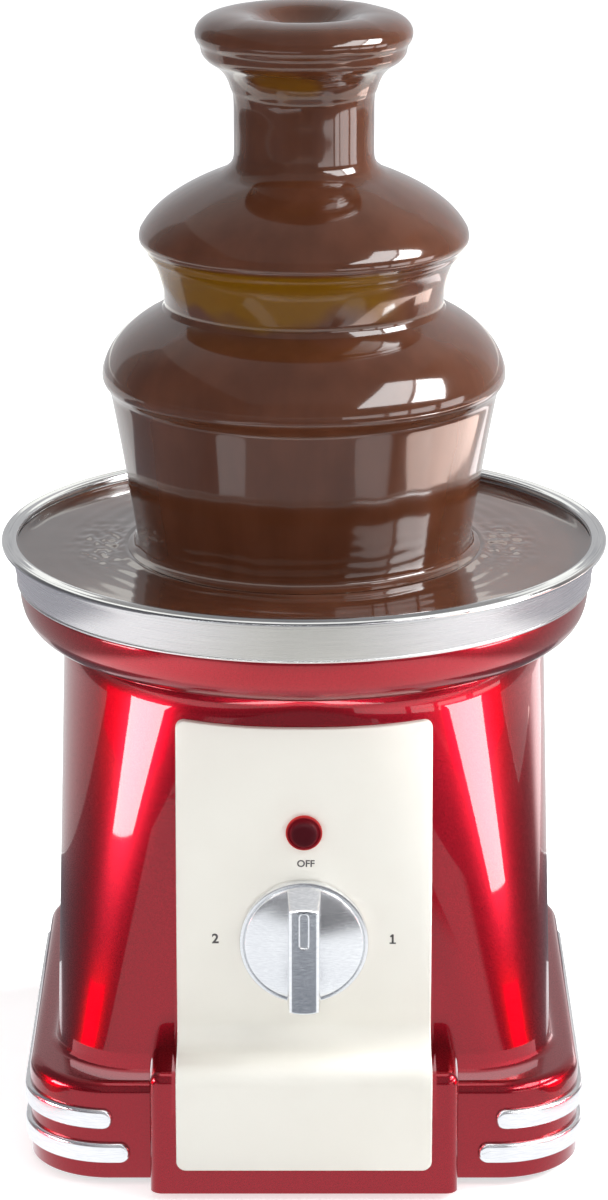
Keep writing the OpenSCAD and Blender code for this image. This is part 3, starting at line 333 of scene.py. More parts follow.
def lensFinish():
    look = {"heart": opaque(0.05, 0.001, 0.005), "rim": opaque(0.17, 0.003, 0.010),
            "dim": opaque(0.02, 0, 0), "lit": opaque(0.9, 0.06, 0.04), "middle": (0, 0, -0.1238),
            "rimFrom": (0.0036, 0.0052), "litFrom": (0.0053, 0.0060), "facets": 900}
    p, material = newPaint("lensRed")
    offset = p.node("Mapping", {}, {"Vector": p.spot(), "Location": look["middle"], "Scale": (1, 0, 1)})
    away = p.node("VectorMath", {"operation": "LENGTH"}, {0: offset}, "Value")
    facets = p.node("TexVoronoi", {}, {"Vector": p.spot(), "Scale": look["facets"]})
    colour = p.blend(p.eased(away, *look["rimFrom"]), look["heart"], look["rim"])
    glow = p.blend(p.eased(away, *look["litFrom"]), look["dim"], look["lit"])
    dressed(p, {"Base Color": colour, "Roughness": 0.35 + facets * 0.1, "Specular IOR Level": 0.08,
                "Emission Color": glow, "Emission Strength": 0.4})
    return material

def plainFinish(name, colour, roughness, metallic=0.0, grain=900, depth=0.12, shade=0.82):
    p, material = newPaint(name)
    fine = p.grain(grain, 3)
    cloud = p.grain(35, 3)
    low = opaque(*[c * shade for c in colour])
    tint = p.blend(p.eased(fine * 0.4 + cloud * 0.6, 0.3, 0.7), low, opaque(*colour))
    dressed(p, {"Base Color": tint, "Metallic": metallic, "Roughness": roughness - 0.05 + fine * 0.12,
                "Normal": p.bumped(fine, 0.00005, depth)})
    return material

finishes = {
    "red_gloss": redGlossFinish(),
    "cream_panel": creamFinish(),
    "bright_trim": brushedFinish("brightTrim", opaque(0.90, 0.90, 0.91), opaque(0.76, 0.77, 0.79), 0.24,
                                 (1, 1, 14), 260),
    "knob_chrome": brushedFinish("knobChrome", opaque(0.84, 0.85, 0.86), opaque(0.70, 0.71, 0.73), 0.2,
                                 (1, 1, 9), 500, 0.1),
    "steel": plainFinish("turnedSteel", (0.62, 0.62, 0.63), 0.3, 1.0, 1200, 0.1),
    "bowl_steel": bowlFinish(),
    "tower_steel": brushedFinish("towerSteel", opaque(0.78, 0.78, 0.78), opaque(0.66, 0.66, 0.67), 0.2,
                                 (1, 1, 20), 300, 0.1),
    "aluminium_sheet": plainFinish("aluminiumSheet", (0.75, 0.75, 0.76), 0.38, 1.0, 700, 0.1),
    "bronze": plainFinish("bronze", (0.66, 0.46, 0.22), 0.35, 1.0, 1500, 0.2, 0.7),
    "motor_paint": plainFinish("motorPaint", (0.05, 0.05, 0.055), 0.42, 0.0, 1400, 0.2),
    "black_plastic": plainFinish("blackPlastic", (0.022, 0.022, 0.024), 0.5, 0.0, 1700, 0.3, 0.7),
    "white_plastic": plainFinish("whitePlastic", (0.80, 0.79, 0.75), 0.42, 0.0, 800, 0.1, 0.92),
    "lens_red": lensFinish(),
    "seal_rubber": plainFinish("sealRubber", (0.025, 0.025, 0.025), 0.7, 0.0, 1300, 0.3, 0.7),
    "foot_rubber": plainFinish("footRubber", (0.03, 0.03, 0.03), 0.75, 0.0, 1100, 0.3, 0.7),
    "chocolate": chocolateFinish(),
}
inkFinish = plainFinish("panelInk", (0.075, 0.068, 0.065), 0.5, 0.0, 2000, 0.05, 0.8)
print("finishes made:", len(finishes) + 1)

for part in frame["record"]["subparts"]:
    node = frame["nodes"][part["node"]]
    node.data.materials.clear()
    node.data.materials.append(finishes[part["material_slot"]])

# housing: one shell from loops, with the tongue in front

housing = {"baseHalf": 93.5, "baseCorner": 28, "foot": 2.5, "ledge": 37, "ledgeRound": 4, "fillet": 3,
           "bodyX": 84.5, "bodyY": 81.5, "bodyCorner": 30, "topRadius": 83, "topFlat": 0.5, "top": 169.5,
           "wall": 2.6, "around": 160, "levels": 18, "footRound": 0.8, "skirt": (12, 22),
           "topEase": 0.6, "topRim": ((0.25, 0.12), (0.8, 0)),
           "tongueHalf": 51.5, "tongueFront": 105.3, "tongueTop": 45.5, "tongueRound": 4}

def bodyAt(z):  # half width, half depth and corner radius of the body
    share = (z - housing["ledge"]) / (housing["top"] - housing["ledge"])
    top = housing["topRadius"]
    return (mix(housing["bodyX"], top, share), mix(housing["bodyY"], top, share),
            mix(housing["bodyCorner"], top - housing["topFlat"], share))

def frontAt(x, z, off):  # y of the body's front, stood off by a distance
    hx, hy, rc = bodyAt(z)
    u = max(abs(x) - (hx - rc), 0)
    return -(hy - rc) - sqrt((rc + off) ** 2 - u * u)

def planLoop(bm, hx, hy, rc, z):
    turn = Matrix.Translation((0, 0, z)) @ Matrix.Rotation(pi / housing["around"], 4, "Z")
    ring = bmesh.ops.create_circle(bm, segments=housing["around"], radius=rc, matrix=turn)["verts"]
    for v in ring:
        v.co.x += (hx - rc) * (1 if v.co.x > 0 else -1)
        v.co.y += (hy - rc) * (1 if v.co.y > 0 else -1)
    return list({e for v in ring for e in v.link_edges})

def makeHousing():
    h = housing
    bm = bmesh.new()
    half, corner, wall = h["baseHalf"], h["baseCorner"], h["wall"]
    plans = []
    for a in (0, 30, 60, 90):  # small round at the lower edge
        o = h["footRound"] * (1 - sin(radians(a)))
        rise = h["footRound"] * (1 - cos(radians(a)))
        plans.append((half - o, half - o, corner - o, h["foot"] + rise))
    for z in h["skirt"]:
        plans.append((half, half, corner, z))
    for i in range(9):  # round to the ledge
        a = radians(90 * i / 8)
        o = h["ledgeRound"] * (1 - cos(a))
        plans.append((half - o, half - o, corner - o, h["ledge"] - h["ledgeRound"] * (1 - sin(a))))
    for i in range(7):  # fillet from the ledge to the body
        a = radians(90 * i / 6)
        o = h["fillet"] * (1 - sin(a))
        plans.append((h["bodyX"] + o, h["bodyY"] + o, h["bodyCorner"] + o,
                      h["ledge"] + h["fillet"] * (1 - cos(a))))
    low = h["ledge"] + h["fillet"]
    for i in range(1, h["levels"] + 1):
        z = mix(low, h["top"] - h["topEase"], i / h["levels"])
        plans.append((*bodyAt(z), z))
    for inset, drop in h["topRim"]:
        plans.append((*[s - inset for s in bodyAt(h["top"])], h["top"] - drop))
    for z in (h["top"], mix(low, h["top"], 0.5), low):  # inside
        plans.append((*[s - wall for s in bodyAt(z)], z))
    under = h["ledge"] - wall
    plans.append((h["bodyX"] - wall, h["bodyY"] - wall, h["bodyCorner"] - wall, under))
    plans.append((half - wall, half - wall, corner - wall, under))
    plans.append((half - wall, half - wall, corner - wall, h["foot"]))
    loops = [planLoop(bm, *plan) for plan in plans]
    for a, b in zip(loops, loops[1:] + loops[:1]):
        bmesh.ops.bridge_loops(bm, edges=a + b)
    tidy(bm)
    return bm

def addTongue(bm):
    h = housing
    block = bmesh.new()
    back = -h["bodyY"] + h["wall"] / 2
    made = bmesh.ops.create_cube(block, size=1)["verts"]
    deep = h["tongueFront"] + back
    bmesh.ops.scale(block, vec=(2 * h["tongueHalf"], deep, h["tongueTop"] - h["foot"]), verts=made)
    bmesh.ops.translate(block, vec=(0, back - deep / 2, (h["tongueTop"] + h["foot"]) / 2), verts=made)
    gone = [f for f in block.faces if f.normal.z < -0.9 or f.normal.y > 0.9]
    bmesh.ops.delete(block, geom=gone, context="FACES_ONLY")
    rounds = [e for e in block.edges if len(e.link_faces) == 2]
    rounded(block, rounds, h["tongueRound"], 8)
    for axis, place in ((2, h["foot"]), (1, back)):  # close the underside and the back
        ring = [e for e in block.edges if all(abs(v.co[axis] - place) < slack for v in e.verts)]
        bmesh.ops.edgeloop_fill(block, edges=ring)
    outward(block)
    joined(bm, block)

housingMesh = makeHousing()
addTongue(housingMesh)
toObject(housingMesh, "housingShell", "base", "red_gloss", ["housing"], 32)
print("housing made")

# collar under the bowl

collar = {"foot": 84, "footZ": 169.5, "top": 98, "topZ": 187, "around": 224, "footRound": 0.5,
          "topRound": 0.6, "start": (0.2, 0.8), "sag": 0.05, "end": 1.2,
          "innerTop": 2.4, "innerLean": 2.6, "innerSag": 0.22, "innerFoot": (2.2, 3.1),
          "spigot": [(78.3, 171), (78.3, 164.5), (80.1, 164.5), (80.1, 169.5)]}

def makeCollar():
    c = collar
    bm = bmesh.new()
    foot, footZ, top, topZ = c["foot"], c["footZ"], c["top"], c["topZ"]
    rise = topZ - footZ
    small, large = c["footRound"], c["topRound"]
    outer = arc((foot - small, footZ + small), small, -90, 0, 4)
    outer += lean((foot + c["start"][0], footZ + c["start"][1]), (top, footZ + c["sag"] * rise),
                  (top, topZ - c["end"]), 34)
    outer += arc((top - large, topZ - large), large, 0, 90, 5)
    inner = lean((top - c["innerTop"], topZ), (top - c["innerLean"], footZ + c["innerSag"] * rise),
                 (foot - c["innerFoot"][0], footZ + c["innerFoot"][1]), 16)
    turned(bm, [*outer, *inner, *c["spigot"]], c["around"], True)
    tidy(bm)
    return bm

toObject(makeCollar(), "collarShell", "base", "red_gloss", ["bowl_collar"], 40)
print("collar made")

# steel bowl: neck, floor, wall, bright band and rolled rim

bowl = {"around": 256, "neck": 7.05, "neckTop": 172, "under": 159, "sheet": 1.0, "floor": 62.3,
        "knee": (67.3, 165.5), "shoulder": 95.3, "bandFoot": 98.5, "bandFootZ": 187,
        "bandLip": 0.65, "lipFrom": 0.4, "lipMid": 0.1, "lipEnd": (0.32, 1.7), "bandStart": (0.35, 2),
        "bandTop": 100.95, "bandTopZ": 199.2, "step": [(101.3, 199.8), (101.9, 200.0)],
        "roll": 1.4, "rollOut": 102.6, "rollIn": 99.9, "rollZ": 201.4,
        "rollGroove": [(102.7, 202.66), (102.2, 202.3), (101.75, 202.12), (101.3, 202.34),
                       (100.7, 202.72)],
        "wall": [(99.2, 199.9), (98.9, 196), (97.4, 188.1)]}

def makeBowl():
    b = bowl
    bm = bmesh.new()
    under = [Vector((b["neck"], b["neckTop"])), Vector((b["neck"], b["under"]))]
    under += lean((b["floor"], b["under"]), b["knee"], (b["shoulder"], b["bandFootZ"]), 20)
    inside = beside(under, b["sheet"])
    foot, footZ = b["bandFoot"], b["bandFootZ"]
    outside = under + [(foot - b["lipFrom"], footZ)]
    outside += arc((foot - b["lipMid"], footZ + b["bandLip"]), b["bandLip"], -90, 60, 8)
    outside += [(foot + b["lipEnd"][0], footZ + b["lipEnd"][1])]
    start, startZ = foot + b["bandStart"][0], footZ + b["bandStart"][1]
    for i in range(9):
        outside.append((mix(start, b["bandTop"], i / 8), mix(startZ, b["bandTopZ"], i / 8)))
    outside += b["step"]
    outside += arc((b["rollOut"], b["rollZ"]), b["roll"], -90, 70, 14)
    outside += through(b["rollGroove"], 3)
    outside += arc((b["rollIn"], b["rollZ"]), b["roll"], 95, 215, 10)
    turned(bm, [*outside, *b["wall"], *reversed(inside)], b["around"], True)
    tidy(bm)
    return bm

toObject(makeBowl(), "bowlShell", "base", "bowl_steel", ["bowl"], 34)
print("bowl made")

# chocolate in the bowl, rippled round the falling curtain

pool = {"around": 320, "level": 198.5, "hole": 25, "foot": 60.8, "shore": 99.0, "gap": 0.6, "lastRing": 50,
        "under": [(62.0, 160.2), (66.4, 166.3), (94.4, 188.2)], "side": [(97.3, 189.5), (98.4, 195)],
        "wave": 0.10, "waveLength": 6.5, "waveFade": 12, "wobble": 2.3, "twist": 5, "calm": 4,
        "splashX": 68, "splashSize": (8, 19), "chop": 0.8, "chopSize": (2.6, 4.2),
        "fine": 0.30, "fineSize": (1.5, 2.2), "slow": 0.12, "slowSize": 17,
        "shoreRise": 0.9, "shoreFade": 1.3, "ridge": 0.8, "ridgeFade": 2.2}

def ripple(v):
    p = pool
    x, y = v.co.x, v.co.y
    r, side = hypot(x, y), Vector((x, y, 0)).normalized()
    if v.co.z < p["level"] - slack or r < p["foot"]:
        return
    out = r - p["foot"]
    wobble = noise.noise(side * p["wobble"] + Vector((3, 0, 0)))
    turns = 2 * pi * out / (p["waveLength"] + wobble) + p["twist"] * wobble
    wave = p["wave"] * exp(-out / p["waveFade"]) * sin(turns)
    wide, deep = p["splashSize"]  # broken surface at both sides
    splash = exp(-((abs(x) - p["splashX"]) / wide) ** 2 - (y / deep) ** 2)
    coarse = p["chop"] * splash * noise.noise(Vector((x / p["chopSize"][0], y / p["chopSize"][1], 1)))
    fine = p["fine"] * splash * noise.noise(Vector((x / p["fineSize"][0], y / p["fineSize"][1], 7)))
    slow = p["slow"] * noise.noise(Vector((x / p["slowSize"], y / p["slowSize"], 4)))
    shore = p["shoreRise"] * exp(-(p["shore"] - r) / p["shoreFade"])
    ridge = p["ridge"] * exp(-out / p["ridgeFade"]) * min(1, out)
    v.co.z += (wave + (coarse + fine) + slow) * min(1, out / p["calm"]) + shore + ridge

def makePool():
    p = pool
    bm = bmesh.new()
    rings = [p["shore"] - i * p["gap"] for i in range(int((p["shore"] - p["foot"]) / p["gap"]) + 1)]
    top = [(r, p["level"]) for r in rings + [p["lastRing"], p["hole"]]]
    inmost = (p["hole"], p["under"][0][1])
    turned(bm, [inmost, *lean(*p["under"], 12), *p["side"], *top], p["around"], True)
    tidy(bm)
    for v in bm.verts:
        ripple(v)
    return bm

toObject(makePool(), "chocolateInBowl", "base", "chocolate", ["chocolate_pool"], 60)
print("pool made")

# chocolate on the tower: crown, neck, two domes and two curtains

fall = {"around": 256, "coat": 2.6, "skin": 0.1, "sheet": 2.4,
        "crown": [(0, 376.4), (5, 376.4), (9.5, 377.1), (13.5, 379.2), (17.5, 381.5), (23, 382.45),
                  (28, 382.2), (32.4, 380.9), (35.3, 378.7), (36.4, 376.1), (36.0, 373.6), (34.9, 371.8),
                  (34.5, 370.4), (34.0, 368.6), (32.3, 366.6), (29.4, 364.7), (26.9, 362.2), (25.4, 359.4),
                  (24.6, 357.0), (23.9, 355.2), (23.6, 352.0), (23.6, 345.0), (23.6, 338.0), (23.8, 333.6),
                  (24.9, 331.1)],
        "upperHub": (23, 327.8), "upperLean": (47.46, 319.2), "upperEdge": (53.2, 307.8),
        "lowerHub": (23.6, 286.6), "lowerLean": (61.76, 279.3), "lowerEdge": (66, 260.6),
        "upperLip": [(55.8, 307.2), (55.75, 306.1), (55.1, 304.8), (54.0, 303.7), (53.2, 302.4)],
        "lowerLip": [(68.6, 259.9), (68.55, 258.6), (67.9, 257.0), (66.9, 255.6), (66.0, 253.9)],
        "upperFoot": 47.3, "footOut": 1.5, "curtain": [(53.0, 301.6), (48.6, 297)], "curtainFoot": 3.2,
        "curtainToe": [(47.4, 2.0), (47.9, 0.9), (48.9, 0.25)], "domeFrom": 49.6,
        "lowerStart": (65.7, 252.6), "lowerFoot": (57.4, 203.4), "bowAt": 0.4, "bow": (0.6, 0),
        "toe": [(57.35, 202.4), (57.5, 201.2), (58.0, 200.2), (58.9, 199.4), (60.2, 198.95),
                (60.6, 198.8)], "pool": 198.8, "still": 0.05,
        "cupFoot": (22.05, 357), "cup": [(22.05, 360), (24.55, 366.5), (30.63, 369.5)],
        "cupEnd": [(33.4, 372.5), (33.8, 377)], "cupWall": 1.6, "cupFloor": [(0, 368.5), (22.3, 368.5)],
        "cupTop": [(32.2, 377.15), (33.95, 377.15)],
        "neckInside": [(22.15, 356.9), (21.1, 356.9), (21.1, 328)],
        "upperUnder": [(53.3, 305.9), (50.9, 305.9)], "skinFrom": 47,
        "lowerUnder": [(66.1, 258.7), (63.2, 258.7)],
        "lowerInside": [(62.9, 252), (55.1, 203), (55.0, 198.8), (60.6, 198.8)],
        "broad": 0.30, "broadSize": (2.1, 0.011), "fold": 0.10, "foldLow": 0.22, "foldSize": (7.5, 0.008),
        "foldFade": 50, "tierFrom": 46, "tierShare": 0.55, "neckShare": 0.7, "sag": 0.35,
        "crownZ": 366, "neckZ": 330, "edgeZ": 255}

def streamed(v):  # soft folds of the flow
    f = fall
    r, z = hypot(v.co.x, v.co.y), v.co.z
    if r < slack or z < f["pool"] + f["still"]:
        return
    side = Vector((v.co.x / r, v.co.y / r, 0))
    across, down = f["broadSize"]
    broad = noise.noise(side * across + Vector((0, 0, z * down)))
    across, down = f["foldSize"]
    fold = noise.noise(side * across + Vector((5, 0, z * down)))
    drop = max(0, min(1, (f["edgeZ"] - z) / f["foldFade"]))
    d = f["broad"] * broad + (f["fold"] + f["foldLow"] * drop) * fold
    if r > f["tierFrom"] and z > f["edgeZ"]:
        d *= f["tierShare"]
    if z > f["neckZ"]:
        d *= f["neckShare"]
    v.co.x += side.x * d
    v.co.y += side.y * d
    if z > f["crownZ"]:
        v.co.z += min(0, f["sag"] * broad)

def makeFall():
    f = fall
    bm = bmesh.new()
    upper = beside(lean(f["upperHub"], f["upperLean"], f["upperEdge"], 24), f["coat"])
    lower = beside(lean(f["lowerHub"], f["lowerLean"], f["lowerEdge"], 28), f["coat"])
    outer = through(f["crown"], 3)
    outer += upper[2:]
    outer += through(f["upperLip"], 3)
    footZ = heightAt(lower, f["upperFoot"] + f["footOut"])
    curtain = lean(*f["curtain"], (f["upperFoot"], footZ + f["curtainFoot"]), 14)
    outer += curtain
    outer += through([(r, footZ + rise) for r, rise in f["curtainToe"]], 3)
    outer += [p for p in lower if p.x > f["domeFrom"]]
    outer += through(f["lowerLip"], 3)
    start, foot = Vector(f["lowerStart"]), Vector(f["lowerFoot"])
    outer += lean(start, start.lerp(foot, f["bowAt"]) - Vector(f["bow"]), foot, 34)
    outer += through(f["toe"], 3)
    for v in turned(bm, outer, f["around"]):
        streamed(v)
    cup = [Vector(f["cupFoot"]), *lean(*f["cup"], 6), *[Vector(p) for p in f["cupEnd"]]]
    over = beside(cup, f["cupWall"] + f["skin"])[4:]
    below = beside(cup, -f["skin"])
    inner = [*f["cupFloor"], *[p for p in over if p.y > f["cupFloor"][0][1] + 0.1], *f["cupTop"]]
    inner += reversed(below[1:-1])
    inner += f["neckInside"]
    inner += beside(lean(f["upperHub"], f["upperLean"], f["upperEdge"], 12), f["skin"])
    inner += f["upperUnder"]
    inner += [p - Vector((f["sheet"], 0)) for p in curtain[1:-2]]
    lowerSkin = beside(lean(f["lowerHub"], f["lowerLean"], f["lowerEdge"], 14), f["skin"])
    inner += [p for p in lowerSkin if p.x > f["skinFrom"]]
    inner += f["lowerUnder"] + f["lowerInside"]
    turned(bm, inner, f["around"])
    tidy(bm, 0.001)
    return bm

toObject(makeFall(), "chocolateFall", "tower", "chocolate", ["chocolate_cascade"], 70)
print("falling chocolate made")

# control panel: a flat plate wrapped down the body, over the tongue and down its front

panel = {"half": 42.6, "thick": 2.0, "gap": 0.3, "corner": 3.2, "top": 160, "sweepZ": 56.8, "sweep": 9,
         "deckZ": 47.8, "bendY": -101.3, "bendZ": 41.5, "bend": 6.3, "faceY": -107.6, "foot": 11.8,
         "knobZ": 85.5, "knobHole": 4.9, "lampZ": 123.8, "lampHole": 4.95, "holeSteps": 40, "edge": 0.55,
         "bodyGap": 6, "sweepGap": 1.1, "bendGap": 0.9, "acrossGap": 4}
panelOff = panel["gap"] + panel["thick"]
sweepY = frontAt(0, panel["sweepZ"], panelOff) - panel["sweep"]
runBody = panel["top"] - panel["sweepZ"]
runSweep = panel["sweep"] * pi / 2
runDeck = sweepY - panel["bendY"]
runBend = panel["bend"] * pi / 2
runFace = panel["bendZ"] - panel["foot"]
panelRun = runBody + runSweep + runDeck + runBend + runFace

def onPanel(x, s, t):  # x across, s down from the top edge, t in from the front surface
    p = panel
    if s <= runBody:
        return x, frontAt(x, p["top"] - s, panelOff - t), p["top"] - s
    s -= runBody
    if s <= runSweep:
        a = -s / p["sweep"]
        return x, sweepY + (p["sweep"] + t) * cos(a), p["sweepZ"] + (p["sweep"] + t) * sin(a)
    s -= runSweep
    if s <= runDeck:
        return x, sweepY - s, p["deckZ"] - t
    s -= runDeck
    if s <= runBend:
        a = pi / 2 + s / p["bend"]
        return x, p["bendY"] + (p["bend"] - t) * cos(a), p["bendZ"] + (p["bend"] - t) * sin(a)
    return x, p["faceY"] + t, p["bendZ"] - (s - runBend)

def onFront(bm, z):  # stands a mesh made along Z on the panel's front
    face = Matrix.Translation((0, frontAt(0, z, panelOff), z)) @ Matrix.Rotation(pi / 2, 4, "X")
    bmesh.ops.transform(bm, matrix=face, verts=bm.verts)

def makePanel():
    p = panel
    bm = plate(panelRun, 2 * p["half"], p["corner"], 8)
    bmesh.ops.delete(bm, geom=bm.faces[:], context="FACES_ONLY")
    for z, hole in ((p["knobZ"], p["knobHole"]), (p["lampZ"], p["lampHole"])):
        bmesh.ops.create_circle(bm, segments=p["holeSteps"], radius=hole,
                                matrix=Matrix.Translation((0, p["top"] - z, 0)))
    bmesh.ops.triangle_fill(bm, use_beauty=True, use_dissolve=False, edges=bm.edges[:], normal=(0, 0, 1))
    extruded(bm, bm.faces[:], p["thick"])
    outward(bm)
    edge = [e for e in bm.edges if all(v.co.z < slack for v in e.verts) and len(e.link_faces) == 2
            and abs(e.link_faces[0].normal.z - e.link_faces[1].normal.z) > 0.5
            and (min(abs(v.co.x) for v in e.verts) > p["half"] - p["corner"] - 1
                 or all(v.co.y < slack or v.co.y > panelRun - slack for v in e.verts))]
    rounded(bm, edge, p["edge"], 3)
    bends = runBody + runSweep + runDeck
    cuts = evenly(0, runBody, p["bodyGap"]) + [runBody]
    cuts += evenly(runBody, runBody + runSweep, p["sweepGap"]) + [runBody + runSweep, bends]
    cuts += evenly(bends, bends + runBend, p["bendGap"]) + [bends + runBend]
    sliced(bm, cuts, 1)
    sliced(bm, evenly(-p["half"], p["half"], p["acrossGap"]), 0)
    for v in bm.verts:
        v.co = onPanel(v.co.x, v.co.y, v.co.z)
    tidy(bm)
    return bm

toObject(makePanel(), "panelPlate", "base", "cream_panel", ["front_panel"], 30)
print("panel made")

# words and numbers printed on the panel

labels = [("OFF", 0.6, 112.7, 2.5, 0.022, "labelOff"), ("1", 29.6, 85.7, 3.5, 0, "labelOne"),
          ("2", -29.6, 85.9, 3.5, 0.026, "labelTwo")]
ink = {"thick": 0.01, "swell": 2, "lift": 0.03, "fineness": 6,
       "one": [(0.2, 1.0, 0, (0, 0.5)), (0.17, 0.36, -50, (-0.1, 0.86)), (0.62, 0.14, 0, (0, 0.07))]}

def drawnOne():  # a plain figure 1: stem, flag and foot
    bm = bmesh.new()
    for width, length, turn, place in ink["one"]:
        at = Matrix.Translation((*place, 0)) @ Matrix.Rotation(radians(turn), 4, "Z")
        bmesh.ops.create_grid(bm, x_segments=1, y_segments=1, size=0.5,
                              matrix=at @ Matrix.Diagonal((width, length, 1, 1)))
    extruded(bm, bm.faces[:], ink["thick"])
    return bm

def drawnText(words, bold, name):
    curve = bpy.data.curves.new(name, "FONT")
    curve.body = words
    curve.align_x = "CENTER"
    curve.extrude = ink["thick"]
    curve.offset = bold
    curve.resolution_u = ink["fineness"]
    holder = bpy.data.objects.new(name + "Curve", curve)
    bpy.context.collection.objects.link(holder)
    flat = bpy.data.meshes.new_from_object(holder.evaluated_get(bpy.context.evaluated_depsgraph_get()))
    bm = bmesh.new()
    bm.from_mesh(flat)
    bpy.data.objects.remove(holder)
    bpy.data.meshes.remove(flat)
    return bm

def printLabel(words, x, z, height, bold, name):
    bm = drawnText(words, bold, name) if bold else drawnOne()
    low, high = min(v.co.y for v in bm.verts), max(v.co.y for v in bm.verts)
    middle = (min(v.co.x for v in bm.verts) + max(v.co.x for v in bm.verts)) / 2
    bmesh.ops.translate(bm, vec=(-middle, -(low + high) / 2, 0), verts=bm.verts)
    size = height / (high - low)
    bmesh.ops.scale(bm, vec=(size, size, ink["swell"]), verts=bm.verts)
    for v in bm.verts:
        deep = -v.co.z
        v.co = onPanel(x + v.co.x, panel["top"] - (z + v.co.y), deep - ink["lift"])
    tidy(bm, 0.0001)
    toObject(bm, name, "base", "cream_panel", finish=inkFinish)

for label in labels:
    printLabel(*label)
print("labels made")

# four bright strips round the front corners of the base

strip = {"width": 7.2, "thick": 1.8, "edge": 1.35, "half": 93.5, "corner": 28, "rear": 70, "tip": 0.02,
         "straightGap": 12, "bendGap": 1.1, "upperZ": 24.5, "lowerZ": 12.2, "upperRun": 1.2, "lowerRun": 7}

def makeStrip(side, z, run):
    q = strip
    bend = q["half"] - q["corner"]
    straight = q["rear"] + bend
    bendEnd = straight + q["corner"] * pi / 2
    bm = plate(bendEnd + run, q["width"], q["width"] / 2 - q["tip"], 10)
    extruded(bm, bm.faces[:], q["thick"])
    outward(bm)
    rim = [e for e in bm.edges if all(v.co.z > q["thick"] - slack for v in e.verts)]
    rounded(bm, rim, q["edge"], 5)
    sliced(bm, evenly(0, straight, q["straightGap"]) + [straight], 1)
    sliced(bm, evenly(straight, bendEnd, q["bendGap"]) + [bendEnd], 1)
    for v in bm.verts:
        across, s, h = v.co
        if s <= straight:
            place = (q["half"] + h, q["rear"] - s)
        elif s <= bendEnd:
            a = (s - straight) / q["corner"]
            place = (bend + (q["corner"] + h) * cos(a), -bend - (q["corner"] + h) * sin(a))
        else:
            place = (bend - (s - bendEnd), -q["half"] - h)
        v.co = (side * place[0], place[1], z + across)
    tidy(bm)
    return bm

for side, word in ((-1, "Left"), (1, "Right")):
    for row in ("upper", "lower"):
        toObject(makeStrip(side, strip[row + "Z"], strip[row + "Run"]), row + "Strip" + word, "base",
                 "bright_trim", ["trim_" + row + "_" + word.lower()], 34)
print("strips made")

# control knob: stepped disc and a bar grip with a grooved pointer

knob = {"radius": 21.5, "around": 160, "lift": 0.5, "foot": 0.5, "rim": 3.6, "dome": 7.0, "domeSteps": 14,
        "steps": [(0, -0.5), (0.18, -0.1), (0.55, 0), (1.2, 0), (1.3, -0.25), (1.5, -0.25), (1.6, 0.3),
                  (1.9, 0.75), (2.6, 0.95)],
        "bar": 15, "barHalf": 4.9, "barFoot": 5.8, "barCuts": [(3, 0.92), (4.4, 0.9)], "barBack": 0.12,
        "slope": 5.0, "end": 0.2, "edge": 0.85, "inset": 0.12, "groove": 1.25, "grooveFoot": 2.6,
        "grooveTop": 14.6, "grooveDeep": 0.8, "grooveLip": 0.45, "grooveEnd": 0.1}

def knobDisc():
    k = knob
    bm = bmesh.new()
    r, low, rim = k["radius"], k["lift"], k["rim"]
    disc = [(0, low), (r - k["foot"], low), (r, low + k["foot"])]
    disc += [(r - inset, rim + rise) for inset, rise in k["steps"]]
    inset, rise = k["steps"][-1]
    for i in range(1, k["domeSteps"] + 1):
        t = i / k["domeSteps"]
        disc.append((mix(r - inset, 0, t), mix(rim + rise, k["dome"], sin(t * pi / 2))))
    turned(bm, disc, k["around"])
    tidy(bm)
    return bm

def shapeBar(v):  # ends on the disc's circle, a slope at the pointer, sides that lean in
    k = knob
    front = v.co.z > k["bar"] - slack
    if abs(v.co.y) > k["radius"] - slack:
        circle = k["radius"] - k["barBack"]
        reach = sqrt(circle * circle - v.co.x * v.co.x)
        top = v.co.y > 0
        v.co.y = reach if top else -reach
        if front:
            v.co.y += -k["slope"] if top else k["end"]
        elif top:
            v.co.z = k["lift"]
    if front:
        for place, share in k["barCuts"] + [(k["barFoot"], k["barHalf"] / k["barFoot"])]:
            if abs(abs(v.co.x) - place) < slack:
                v.co.x *= share
                break

def inGroove(x, y, spare):
    return abs(x) < knob["groove"] + spare and knob["grooveFoot"] - spare < y < knob["grooveTop"] + spare

def atGrooveCorner(v):
    k = knob
    across = abs(abs(v.co.x) - k["groove"])
    along = min(abs(v.co.y - k["grooveFoot"]), abs(v.co.y - k["grooveTop"]))
    return across < slack and along < slack and v.co.z > k["bar"] - 2 * k["grooveDeep"]

def cutGroove(bar):
    k = knob
    slot = []
    for f in bar.faces:
        middle = f.calc_center_median()
        if f.normal.z > 0.95 and inGroove(middle.x, middle.y, 0):
            slot.append(f)
    extruded(bar, slot, -k["grooveDeep"])
    bmesh.ops.delete(bar, geom=[f for f in slot if f.is_valid], context="FACES_ONLY")
    corners = [e for e in bar.edges if abs(e.verts[0].co.z - e.verts[1].co.z) > 0.1
               and all(atGrooveCorner(v) for v in e.verts)]
    rounded(bar, corners, k["groove"] - k["grooveEnd"], 6)
    outward(bar)

